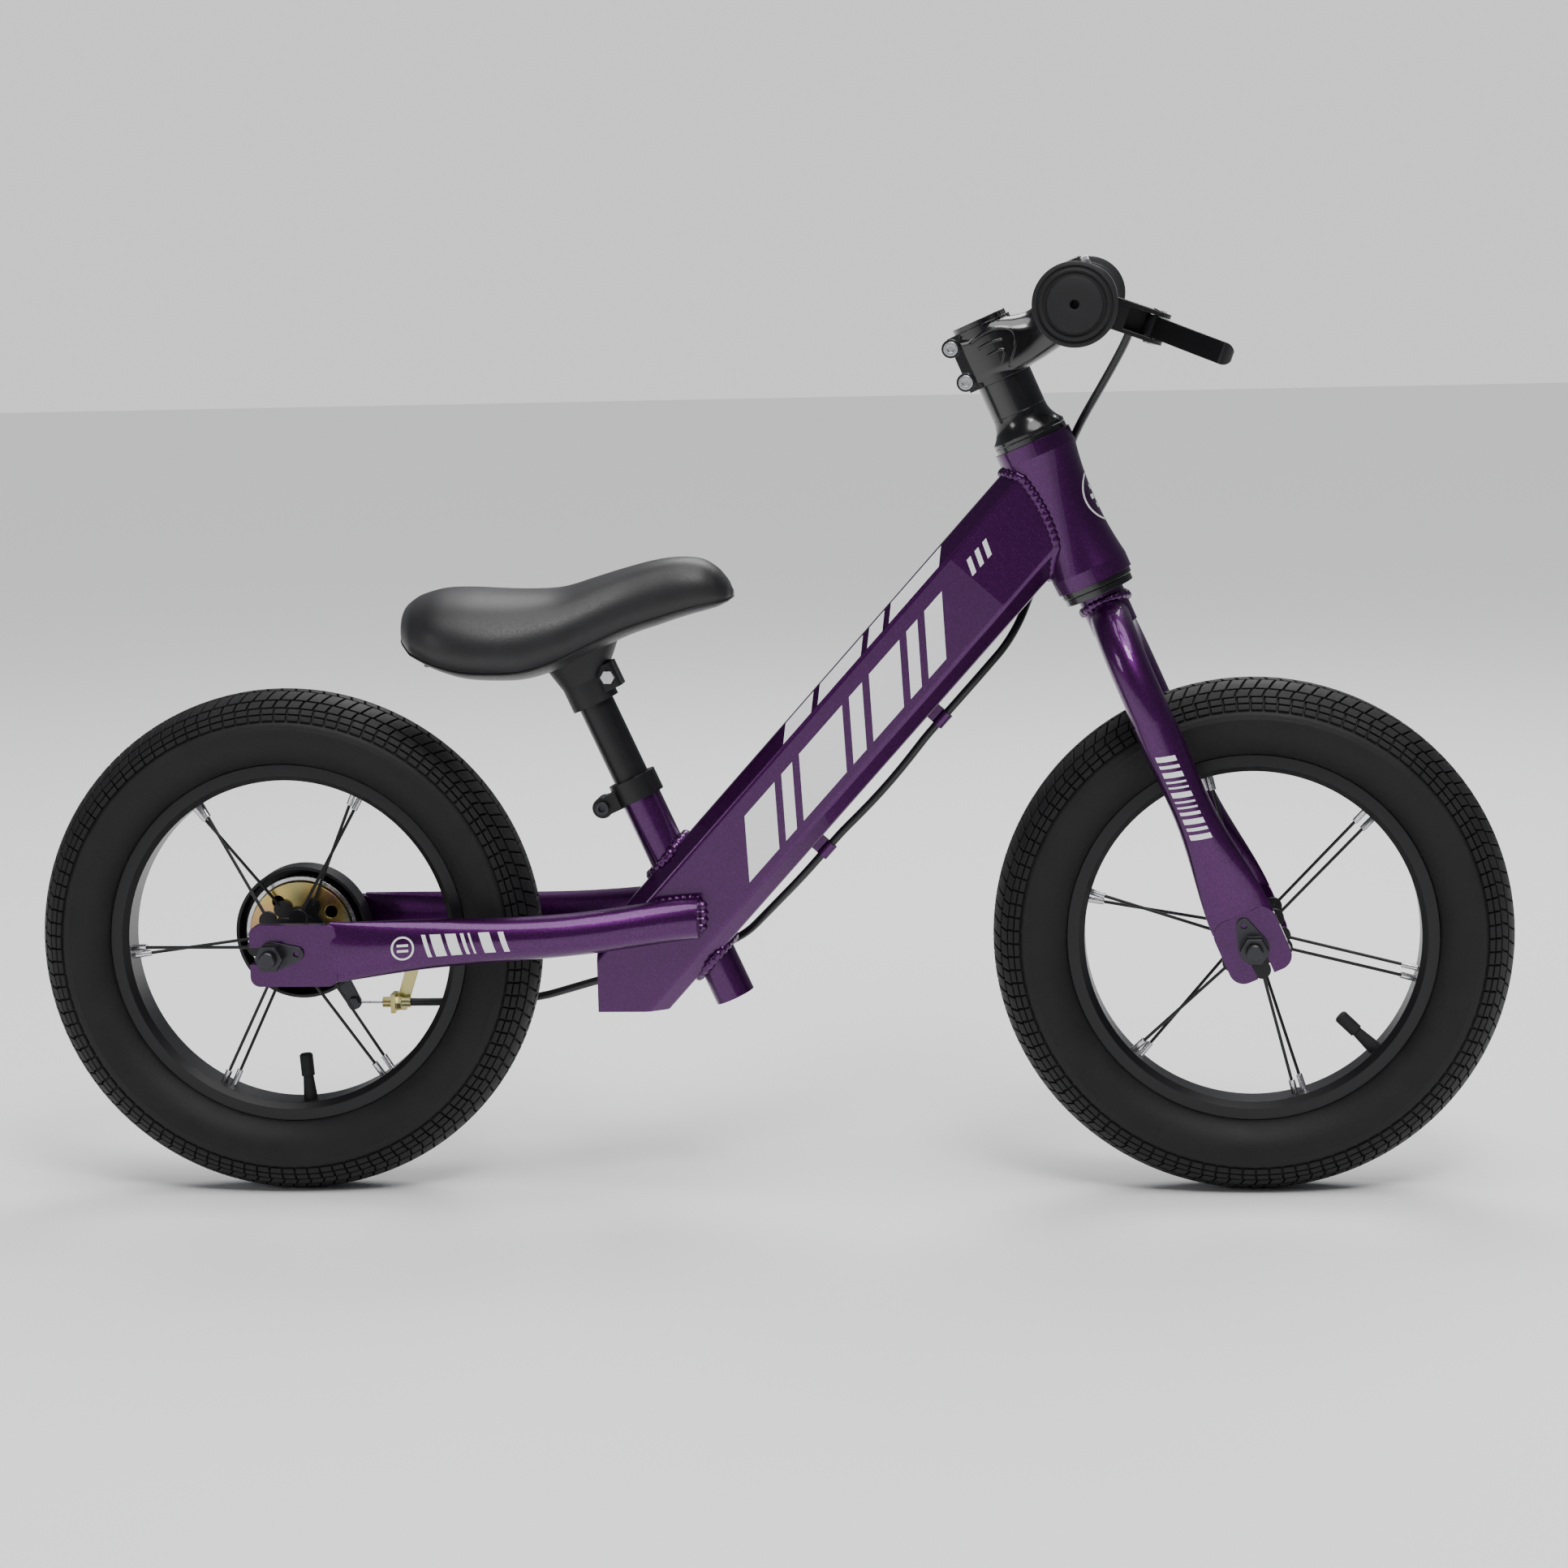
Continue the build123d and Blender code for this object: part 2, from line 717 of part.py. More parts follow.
def make_fork_leg(name, side):
    """One fork leg: bent in to the steerer above, pressed flat at the axle below."""
    tip_plane = Plane(
        on_fork(0, 0, side * fork_leg_offset + dropout_thickness / 2),
        x_dir=steer_ahead,
        z_dir=(0, -1, 0),
    )
    slot_width = 2 * axle_radius + 2 * axle_slot_gap
    with BuildPart() as leg:
        fork_leg_sweep(side, fork_leg_radius)
        fork_leg_loft(side, 0)
        fork_leg_sweep(side, fork_leg_radius - fork_wall, Mode.SUBTRACT)
        fork_leg_loft(side, fork_wall, Mode.SUBTRACT)
        with BuildSketch(tip_plane):
            with Locations((0, (fork_tip_above - fork_tip_below) / 2)):
                RectangleRounded(fork_tip_width, fork_tip_above + fork_tip_below, 9)
        extrude(amount=dropout_thickness)
        with BuildSketch(tip_plane.offset(-20)):
            Circle(axle_radius)
            with Locations((0, -fork_tip_below)):
                Rectangle(slot_width, 2 * fork_tip_below)
        extrude(amount=dropout_thickness + 40, mode=Mode.SUBTRACT)
        steering_disc(steerer_bottom - 20, 60, steerer_radius, Mode.SUBTRACT)
        with BuildSketch(Plane(on_fork(steerer_bottom), x_dir=steer_ahead, z_dir=(0, side, 0))):
            Rectangle(100, 100)
        extrude(amount=-60, mode=Mode.SUBTRACT)
    save(leg.part, name)


# ---- stem and bar -------------------------------------------------------------
def make_stem():
    """Forged stem: steerer clamp, extension and the rear half of the bar clamp."""
    middle = stem_bottom + stem_height / 2
    with BuildPart() as stem:
        steering_disc(stem_bottom, stem_height, stem_clamp_radius)
        for ahead, rise, width, height, corner in stem_stations:
            plane = Plane(on_fork(middle + rise, ahead), x_dir=(0, 1, 0), z_dir=steer_ahead)
            with BuildSketch(plane):
                RectangleRounded(width, height, corner)
        loft()
        with BuildSketch(sideways(bar_point, stem_clamp_half_width)):
            Circle(stem_bar_clamp_radius)
        extrude(amount=-2 * stem_clamp_half_width)
        for along in stem_bolt_heights:
            side_rod(on_fork(along, -stem_bolt_behind), 13, 26, 5.6)
        with BuildSketch(Plane(on_fork(stem_bottom, -stem_bolt_behind + 7), x_dir=steer_ahead, z_dir=steer_up)):
            Rectangle(14, 24)
        extrude(amount=stem_height)
        steering_disc(stem_top, 10, spacer_radius + 0.4, Mode.SUBTRACT)
        steering_disc(stem_bottom - 5, stem_height + 10, steerer_radius, Mode.SUBTRACT)
        with BuildSketch(sideways(bar_point, 2 * stem_clamp_half_width)):
            Circle(bar_centre_radius)
        extrude(amount=-4 * stem_clamp_half_width, mode=Mode.SUBTRACT)
        with BuildSketch(Plane(on_fork(bar_along, stem_reach - 0.5), x_dir=(0, 1, 0), z_dir=steer_ahead)):
            Rectangle(100, 100)
        extrude(amount=60, mode=Mode.SUBTRACT)
        with BuildSketch(Plane(on_fork(stem_bottom - 5, -30), x_dir=steer_ahead, z_dir=steer_up)):
            Rectangle(40, stem_slit)
        extrude(amount=stem_height + 10, mode=Mode.SUBTRACT)
        stem_bolts(Mode.SUBTRACT)
    save(stem.part, "stem")


def faceplate_bolt_places():
    """Middle of each faceplate bolt's head, above and below the bar."""
    return [
        (bar_along + high * 19, side * 13) for high in (-1, 1) for side in (-1, 1)
    ]


def stem_bolts(mode=Mode.ADD):
    """Two pinch bolts behind the steerer and four faceplate bolts."""
    for along in stem_bolt_heights:
        side_rod(on_fork(along, -stem_bolt_behind), 11, 22, 2.5, mode)
        side_rod(on_fork(along, -stem_bolt_behind), -11, 4, 4.3, mode)
    for along, left in faceplate_bolt_places():
        centre = on_fork(along, stem_reach - 12, left)
        add_rods([(centre, centre + steer_ahead)], 2, 0, 21, mode)
        add_rods([(centre, centre + steer_ahead)], 3.4, 21, 4, mode)


def make_stem_faceplate():
    """Front half of the bar clamp."""
    with BuildPart() as faceplate:
        with BuildSketch(sideways(bar_point, stem_clamp_half_width)):
            Circle(stem_bar_clamp_radius)
        extrude(amount=-2 * stem_clamp_half_width)
        for along, left in faceplate_bolt_places():
            with BuildSketch(Plane(on_fork(along, stem_reach, left), z_dir=steer_ahead)):
                Circle(5)
            extrude(amount=9)
        with BuildSketch(sideways(bar_point, 2 * stem_clamp_half_width)):
            Circle(bar_centre_radius)
        extrude(amount=-4 * stem_clamp_half_width, mode=Mode.SUBTRACT)
        with BuildSketch(Plane(on_fork(bar_along, stem_reach + 0.5), x_dir=(0, 1, 0), z_dir=steer_ahead)):
            Rectangle(100, 100)
        extrude(amount=-60, mode=Mode.SUBTRACT)
        stem_bolts(Mode.SUBTRACT)
    save(faceplate.part, "stem_faceplate")


def make_stem_bolts():
    """All the stem's screws as one group."""
    with BuildPart() as bolts:
        stem_bolts()
        for along in stem_bolt_heights:
            with BuildSketch(sideways(on_fork(along, -stem_bolt_behind), -12.5)):
                RegularPolygon(2.3, 6)
            extrude(amount=-6, mode=Mode.SUBTRACT)
    save(bolts.part, "stem_bolts")


def make_steerer_cap():
    """Cap on top of the stem, with its pre-load bolt going down the steerer."""
    with BuildPart() as cap:
        steering_disc(stem_top, stem_cap_height, spacer_radius)
        steering_disc(stem_top - 30, 30, 2.5)
        steering_disc(stem_top - 32, 8, steerer_radius - steerer_wall)
        steering_disc(stem_top + stem_cap_height - 2, 2, 2.5, Mode.SUBTRACT)
    save(cap.part, "steerer_cap")


def make_handlebar():
    """Straight tube, thicker in the stem clamp."""
    with BuildPart() as handlebar:
        with BuildSketch(Plane(bar_point, x_dir=(0, 1, 0), z_dir=(1, 0, 0))):
            with BuildLine():
                Polyline(
                    (0, 0),
                    (-bar_half_length, 0),
                    (-bar_half_length, bar_radius),
                    (-bar_taper_end, bar_radius),
                    (-bar_centre_half, bar_centre_radius),
                    (bar_centre_half, bar_centre_radius),
                    (bar_taper_end, bar_radius),
                    (bar_half_length, bar_radius),
                    (bar_half_length, 0),
                    close=True,
                )
            make_face()
        revolve(axis=bar_line)
        with BuildSketch(sideways(bar_point, bar_half_length)):
            Circle(bar_radius - bar_wall)
        extrude(amount=-2 * bar_half_length, mode=Mode.SUBTRACT)
    save(handlebar.part, "handlebar")


def make_grip(name, side):
    """Rubber grip with a thumb flange and a stepped safety bumper at its end."""
    plane = Plane(bar_point, x_dir=(0, side, 0), z_dir=(side, 0, 0))
    with BuildPart() as grip:
        with BuildSketch(plane):
            with BuildLine():
                Polyline(
                    (grip_inner_end, bar_radius),
                    (grip_inner_end, grip_inner_flange_radius),
                    (grip_inner_end + 3, grip_inner_flange_radius),
                    (grip_inner_end + 6, grip_radius),
                    (grip_outer_end - 15, grip_radius),
                    (grip_outer_end - 11, grip_flange_radius),
                    (grip_outer_end - 5, grip_flange_radius),
                    (grip_outer_end - 4.5, 19.7),
                    (grip_outer_end - 2.5, 19.7),
                    (grip_outer_end - 2, 15.8),
                    (grip_outer_end - 0.5, 15),
                    (grip_outer_end, 12),
                    (grip_outer_end, 2.4),
                    (bar_half_length, 2.4),
                    (bar_half_length, bar_radius),
                    close=True,
                )
            make_face()
        revolve(axis=bar_line)
    save(grip.part, name)


# ---- brake lever --------------------------------------------------------------
def make_lever_bracket():
    """Clamp on the bar with two jaws that hold the lever's pivot, and its screw."""
    jaw_inner = lever_half_height + lever_jaw_gap
    jaw_outer = jaw_inner + lever_jaw_wall
    with BuildPart() as bracket:
        with BuildSketch(sideways(bar_point, -lever_clamp_at + lever_clamp_width / 2)):
            Circle(bar_radius + 3.6)
        extrude(amount=-lever_clamp_width)
        with BuildSketch(lever_plane):
            with Locations((lever_clamp_at, 14)):
                Rectangle(lever_clamp_width, 10)
            with Locations((lever_clamp_at - 3, adjuster_ahead - 2)):
                Rectangle(13, 14)
            with Locations((lever_pivot_out, lever_pivot_ahead)):
                Circle(7)
            make_hull()
        extrude(amount=jaw_outer, both=True)
        with BuildSketch(lever_plane):
            with Locations((lever_pivot_out + 4, lever_pivot_ahead - 17)):
                Rectangle(30, 40, align=(Align.CENTER, Align.MIN))
        extrude(amount=jaw_inner, both=True, mode=Mode.SUBTRACT)
        with BuildSketch(sideways(bar_point, -lever_clamp_at + lever_clamp_width)):
            Circle(bar_radius)
        extrude(amount=-2 * lever_clamp_width, mode=Mode.SUBTRACT)
        with BuildSketch(lever_plane):
            with Locations((lever_pivot_out, lever_pivot_ahead)):
                Circle(2.5)
        extrude(amount=jaw_outer, both=True, mode=Mode.SUBTRACT)
    save(bracket.part, "lever_bracket")


def make_lever_pin():
    """Rivet that the lever turns on."""
    jaw_outer = lever_half_height + lever_jaw_gap + lever_jaw_wall
    with BuildPart() as pin:
        with BuildSketch(lever_plane):
            with Locations((lever_pivot_out, lever_pivot_ahead)):
                Circle(2.5)
        extrude(amount=jaw_outer, both=True)
        for face in (jaw_outer, -jaw_outer - 1):
            with BuildSketch(lever_plane.offset(face)):
                with Locations((lever_pivot_out, lever_pivot_ahead)):
                    Circle(4)
            extrude(amount=1)
    save(pin.part, "lever_pin")


def make_brake_lever():
    """Curved finger blade with a short heel that pulls the cable."""
    with BuildPart() as lever:
        with BuildSketch(lever_plane):
            with BuildLine():
                ThreePointArc(
                    (lever_pivot_out, lever_pivot_ahead), (127, 63), (161, 87)
                )
            trace(line_width=lever_blade_width)
            with Locations((lever_pivot_out, lever_pivot_ahead)):
                Circle(6.4)
            with Locations((162, 87.5)):
                Circle(4.4)
        extrude(amount=lever_half_height, both=True)
        with BuildSketch(Plane(bar_point, x_dir=lever_ahead, z_dir=(0, -1, 0))):
            with Locations((lever_tip_ahead, 0)):
                RectangleRounded(
                    80, 2 * lever_half_height, lever_half_height - 0.2, align=(Align.MAX, Align.CENTER)
                )
        extrude(amount=bar_half_length, mode=Mode.INTERSECT)
        with BuildSketch(lever_plane):
            with Locations((lever_pivot_out, lever_pivot_ahead)):
                Circle(2.5 + running_gap)
        extrude(amount=lever_half_height, both=True, mode=Mode.SUBTRACT)
    save(lever.part, "brake_lever")


def make_cable_adjuster():
    """Barrel adjuster where the cable leaves the lever bracket."""
    with BuildPart() as adjuster:
        with BuildSketch(Plane(adjuster_start, z_dir=(0, 1, 0))):
            Circle(adjuster_radius)
        extrude(amount=adjuster_length)
        with BuildSketch(Plane(adjuster_start + Vector(0, 3, 0), z_dir=(0, 1, 0))):
            Circle(adjuster_radius + 1.6)
        extrude(amount=5)
    save(adjuster.part, "cable_adjuster")


# ---- frame tubes --------------------------------------------------------------
def main_tube_profile(back, full_width, shrink):
    """Eight-sided section with soft corners, taller than it is wide."""
    half_width = full_width / 2 - shrink
    half_height = main_tube_height / 2 - shrink
    bevel = main_tube_bevel - shrink * 0.6
    with BuildSketch(Plane(on_main_tube(back), x_dir=(0, 1, 0), z_dir=tube_up)) as section:
        with BuildLine():
            Polyline(
                (-half_width, -half_height + bevel),
                (-half_width + bevel, -half_height),
                (half_width - bevel, -half_height),
                (half_width, -half_height + bevel),
                (half_width, half_height - bevel),
                (half_width - bevel, half_height),
                (-half_width + bevel, half_height),
                (-half_width, half_height - bevel),
                close=True,
            )
        make_face()
        fillet(section.vertices(), radius=4)
    return section.sketch


def main_tube_body(shrink=0, mode=Mode.ADD):
    """The tube's solid outline, narrowed where it meets the head tube."""
    neck = main_tube_profile(0, main_tube_neck_width, shrink)
    shoulder = main_tube_profile(main_tube_neck_length, main_tube_width, shrink)
    loft([neck, shoulder], mode=mode)
    extrude(shoulder, amount=main_tube_neck_length - 480, mode=mode)


def cut_main_tube_ends(shrink=0):
    """Remove what lies behind the tail face and under the floor face."""
    with BuildSketch(Plane.XZ.offset(-100)) as beyond:
        with Locations((main_tube_tail + shrink, 0)):
            Rectangle(400, 800, align=(Align.MAX, Align.CENTER))
        with Locations((0, main_tube_floor + shrink)):
            Rectangle(900, 400, align=(Align.CENTER, Align.MAX))
    extrude(beyond.sketch, amount=200, mode=Mode.SUBTRACT)


def make_main_tube():
    """Large main tube, hollow, closed at its tail, mitred to the head tube."""
    with BuildPart(mode=Mode.PRIVATE) as inside:
        main_tube_body(main_tube_wall)
        cut_main_tube_ends(main_tube_wall)
    with BuildPart() as main_tube:
        main_tube_body()
        cut_main_tube_ends()
        head_tube_solid(mode=Mode.SUBTRACT)
        add(inside.part, mode=Mode.SUBTRACT)
        seat_rod(0, seat_tube_length, seat_tube_radius, Mode.SUBTRACT)
    save(main_tube.part, "main_tube")


def seat_rod(along, length, radius, mode=Mode.ADD):
    """Round rod on the seat tube's line."""
    with BuildSketch(across_seat(along)) as disc:
        Circle(radius)
    extrude(disc.sketch, amount=length, mode=mode)


def make_seat_tube():
    """Tube that passes right through the main tube and takes the seat post."""
    with BuildPart() as seat_tube:
        seat_rod(0, seat_tube_length, seat_tube_radius)
        seat_rod(0, seat_tube_length, post_radius + running_gap, Mode.SUBTRACT)
    save(seat_tube.part, "seat_tube")


def stay_body(side, shrink=0, mode=Mode.ADD):
    """Stay from the main tube's flank, flattened towards the rear axle."""
    stations = (
        (stay_front - shrink, 31.5, 17.5, 12.8, 12.8),
        (-85, 36.5, 12.5, 12.8, 13.2),
        (-125, 43.5, 9.0, 12.6, 13.2),
        (rear_x + 123, 48.0, 7.0, 11.4, 14.2),
        (rear_x + 76, 51.8, 4.5, 8.4, 16.4),
        (stay_flat_start, stay_offset, 1.5, 4.2, 19.0),
    )
    faces = []
    for x, y, above_axle, half_across, half_up in stations:
        centre = (x, side * y, axle_height + above_axle)
        with BuildSketch(Plane(centre, x_dir=(0, 1, 0), z_dir=(1, 0, 0))) as station:
            Ellipse(half_across - shrink, half_up - shrink)
        faces.append(station.sketch)
    loft(faces, mode=mode)


def make_chain_stay(name, side):
    """Hollow stay with a flat slotted end for the rear axle."""
    outer_face = side * stay_offset + dropout_thickness / 2
    with BuildPart() as stay:
        stay_body(side)
        stay_body(side, stay_wall, Mode.SUBTRACT)
        with BuildSketch(Plane.XZ.offset(-outer_face)):
            with Locations(((stay_tip + stay_flat_start) / 2 + 2, axle_height)):
                RectangleRounded(stay_flat_start - stay_tip + 4, stay_tip_height, 6)
            with Locations((rear_x, axle_height)):
                Circle(axle_radius, mode=Mode.SUBTRACT)
                Rectangle(
                    40,
                    2 * axle_radius + 2 * axle_slot_gap,
                    align=(Align.MAX, Align.CENTER),
                    mode=Mode.SUBTRACT,
                )
        extrude(amount=dropout_thickness)
        main_tube_body(mode=Mode.SUBTRACT)
    save(stay.part, name)


def make_cable_guides():
    """Two clips under the main tube that hold the cable."""
    with BuildPart() as guides:
        for back in guide_backs:
            middle = cable_on_tube(back + guide_length / 2)
            with BuildSketch(Plane(middle, x_dir=(0, 1, 0), z_dir=tube_up)):
                Circle(cable_radius + 1.6)
                Rectangle(5, guide_drop, align=(Align.CENTER, Align.MIN))
                Circle(cable_radius, mode=Mode.SUBTRACT)
            extrude(amount=guide_length)
    save(guides.part, "cable_guides")


def make_seat_collar():
    """Split collar with two ears behind it."""
    outer = seat_tube_radius + collar_wall
    start = seat_tube_length - collar_height + 1
    with BuildPart() as collar:
        seat_rod(start, collar_height, outer)
        with BuildSketch(sideways(on_seat(collar_bolt_along, -collar_bolt_behind), 9)):
            Circle(6.4)
        extrude(amount=-18)
        with BuildSketch(
            Plane(on_seat(collar_bolt_along, -collar_bolt_behind / 2, 9), x_dir=seat_ahead, z_dir=(0, -1, 0))
        ):
            Rectangle(collar_bolt_behind, 11)
        extrude(amount=18)
        seat_rod(0, seat_tube_length, seat_tube_radius, Mode.SUBTRACT)
        seat_rod(0, 2 * seat_tube_length, post_radius + 0.4, Mode.SUBTRACT)
        with BuildSketch(across_seat(start - 10, -collar_bolt_behind)):
            Rectangle(2 * collar_bolt_behind - 2, 2)
        extrude(amount=collar_height + 20, mode=Mode.SUBTRACT)
        collar_bolt(Mode.SUBTRACT)
    save(collar.part, "seat_collar")


def collar_bolt(mode=Mode.ADD):
    """Socket bolt through the collar's ears."""
    middle = on_seat(collar_bolt_along, -collar_bolt_behind)
    side_rod(middle, 9, 18, 2.5, mode)
    side_rod(middle, -9, 4, 4.2, mode)


def make_seat_collar_bolt():
    """The collar's bolt as its own piece."""
    with BuildPart() as bolt:
        collar_bolt()
        with BuildSketch(sideways(on_seat(collar_bolt_along, -collar_bolt_behind), -10.5)):
            RegularPolygon(2.3, 6)
        extrude(amount=-6, mode=Mode.SUBTRACT)
    save(bolt.part, "seat_collar_bolt")


# ---- seat ---------------------------------------------------------------------
def make_seat_post():
    """Plain tube that slides in the seat tube."""
    with BuildPart() as post:
        seat_rod(post_bottom, post_top - post_bottom, post_radius)
        seat_rod(post_bottom, post_top - post_bottom, post_radius - post_wall, Mode.SUBTRACT)
    save(post.part, "seat_post")


base_plane = Plane(
    (-122, 0, axle_height + 192),
    x_dir=(cos(radians(base_slope)), 0, sin(radians(base_slope))),
    z_dir=(-sin(radians(base_slope)), 0, cos(radians(base_slope))),
)


def base_outline():
    """Plan of the saddle's base: wide at the back, narrow at the nose."""
    with BuildSketch(base_plane) as outline:
        with Locations((-46, 0)):
            Circle(42)
        with Locations((76, 0)):
            Circle(10)
        make_hull()
    return outline.sketch


def saddle_bolt(mode=Mode.ADD):
    """Bolt across the front of the saddle clamp."""
    middle = on_seat(saddle_bolt_along, saddle_bolt_ahead)
    side_rod(middle, 11, 22, 2.5, mode)
    for face in (11 + 3.5, -11):
        with BuildSketch(sideways(middle, face)) as head:
            RegularPolygon(4.4, 6)
        extrude(head.sketch, amount=-3.5, mode=mode)


def make_saddle_base():
    """Moulded base with the post clamp in one piece."""
    with BuildPart() as base:
        extrude(base_outline(), amount=-base_thickness)
        with BuildSketch(across_seat(saddle_clamp_bottom)):
            Circle(saddle_clamp_radius)
        extrude(amount=60)
        with BuildSketch(across_seat(saddle_clamp_bottom + 4, 14)):
            RectangleRounded(14, 22, 4)
        extrude(amount=16)
        with BuildSketch(across_seat(saddle_clamp_bottom + 15)):
            Circle(saddle_clamp_radius)
        with BuildSketch(across_seat(saddle_clamp_bottom + 40, 9)):
            Ellipse(30, 20)
        loft()
        with BuildSketch(base_plane):
            with Locations((-50, 0)):
                Circle(8)
        extrude(amount=-saddle_boss_height)
        with BuildSketch(base_plane):
            Rectangle(400, 400)
        extrude(amount=100, mode=Mode.SUBTRACT)
        seat_rod(0, post_top, post_radius, Mode.SUBTRACT)
        with BuildSketch(across_seat(saddle_clamp_bottom, 10)):
            Rectangle(30, 1.6, align=(Align.MIN, Align.CENTER))
        extrude(amount=26, mode=Mode.SUBTRACT)
        saddle_bolt(Mode.SUBTRACT)
    save(base.part, "saddle_base")


def make_saddle_bolt():
    """The saddle clamp's bolt and nut as their own piece."""
    with BuildPart() as bolt:
        saddle_bolt()
    save(bolt.part, "saddle_clamp_bolt")


def make_saddle_pad():
    """Foam saddle: each station gives its half width, its low and high edge above the axles."""
    stations = (
        (-220, 22, 188, 207),
        (-211, 44, 180, 213),
        (-192, 57, 170, 219.5),
        (-165, 61, 164, 218.5),
        (-135, 54, 164, 217.5),
        (-108, 40, 176, 222.5),
        (-80, 28, 189, 230.5),
        (-52, 23, 197, 236),
        (-30, 18, 202, 233),
        (-15, 8, 208, 220),
    )
    with BuildPart() as pad:
        for x, half_width, low, high in stations:
            centre = (x, 0, axle_height + (low + high) / 2)
            with BuildSketch(Plane(centre, x_dir=(0, 1, 0), z_dir=(1, 0, 0))):
                RectangleRounded(
                    2 * half_width, high - low, 0.45 * min(2 * half_width, high - low)
                )
        loft()
        extrude(base_outline(), amount=-80, mode=Mode.SUBTRACT)
    save(pad.part, "saddle_pad")


# ---- rear brake ---------------------------------------------------------------
def make_brake_drum():
    """Drum fixed to the rear hub, open to the left."""
    face = hub_flange_offset + hub_flange_thickness / 2
    with BuildPart() as drum:
        with BuildSketch(Plane.XZ.offset(-face)):
            with Locations((rear_x, axle_height)):
                Circle(drum_radius)
                Circle(hub_barrel_radius, mode=Mode.SUBTRACT)
                with PolarLocations(drum_hole_circle, 4, start_angle=34):
                    Circle(drum_hole_radius, mode=Mode.SUBTRACT)
        extrude(amount=-drum_wall)
        with BuildSketch(Plane.XZ.offset(-face)):
            with Locations((rear_x, axle_height)):
                Circle(drum_radius)
                Circle(drum_radius - drum_wall, mode=Mode.SUBTRACT)
        extrude(amount=-drum_depth)
    save(drum.part, "brake_drum")


def make_brake_band():
    """Lined steel band around the drum, open at its lowest point."""
    inner = drum_radius + band_gap
    start = hub_flange_offset + hub_flange_thickness / 2 + 3.5
    with BuildPart() as band:
        with BuildSketch(Plane.XZ.offset(-start)):
            with Locations((rear_x, axle_height)):
                Circle(inner + band_thickness)
                Circle(inner, mode=Mode.SUBTRACT)
                Rectangle(9, 60, align=(Align.CENTER, Align.MAX), mode=Mode.SUBTRACT)
        extrude(amount=-band_width)
    save(band.part, "brake_band")


def make_brake_cover():
    """Pressed cover that carries the band, held by the axle on the left side."""
    wall_start = hub_flange_offset + hub_flange_thickness / 2 + 2
    pivot_x = rear_x + arm_pivot_ahead
    pivot_z = axle_height - arm_pivot_below
    with BuildPart() as cover:
        with BuildSketch(Plane.XZ.offset(-cover_outer_face)):
            with Locations((rear_x, axle_height)):
                Circle(cover_radius)
        extrude(amount=cover_outer_face - wall_start)
        with BuildSketch(Plane.XZ.offset(-cover_outer_face + cover_wall)):
            with Locations((rear_x, axle_height)):
                Circle(cover_radius - cover_wall)
        extrude(amount=cover_outer_face, mode=Mode.SUBTRACT)
        with BuildSketch(Plane.XZ.offset(-cover_outer_face)):
            with Locations((rear_x, axle_height)):
                Circle(axle_radius)
        extrude(amount=cover_outer_face, mode=Mode.SUBTRACT)
        with BuildSketch(Plane.XZ.offset(-arm_y - arm_thickness / 2 - 1)):
            with Locations((pivot_x, pivot_z)):
                Circle(3)
        extrude(amount=arm_y + arm_thickness / 2 + 1 - cover_outer_face)
        with BuildSketch(Plane.XZ.offset(-arm_y - arm_thickness / 2 - 2.2)):
            with Locations((pivot_x, pivot_z)):
                Circle(4.6)
        extrude(amount=1.2)
    save(cover.part, "brake_cover")


def make_brake_arm():
    """Short arm that the cable pulls, with the bolt that pinches the wire."""
    pivot_x = rear_x + arm_pivot_ahead
    pivot_z = axle_height - arm_pivot_below
    with BuildPart() as arm:
        with BuildSketch(Plane.XZ.offset(-arm_y - arm_thickness / 2)):
            with Locations((pivot_x, pivot_z)):
                Circle(5.5)
            with Locations((pivot_x + arm_reach_ahead, pivot_z - arm_reach_below)):
                Circle(4.5)
            make_hull()
            with Locations((pivot_x, pivot_z)):
                Circle(3 + running_gap, mode=Mode.SUBTRACT)
        extrude(amount=arm_thickness)
        with BuildSketch(Plane.XZ.offset(-arm_y + arm_thickness / 2)):
            with Locations((pivot_x + arm_reach_ahead, pivot_z - arm_reach_below)):
                RegularPolygon(4, 6)
        extrude(amount=4)
    save(arm.part, "brake_arm")


def make_brake_spring():
    """Return spring coiled around the arm's pivot."""
    middle = (rear_x + arm_pivot_ahead, cover_outer_face + 0.7, axle_height - arm_pivot_below)
    with BuildPart() as spring:
        with BuildLine() as coil:
            Helix(pitch=0.8, height=1.2, radius=3.8, center=middle, direction=(0, 1, 0))
        with BuildSketch(Plane(coil.line @ 0, z_dir=coil.line % 0)):
            Circle(0.3)
        sweep(is_frenet=True)
    save(spring.part, "brake_spring")


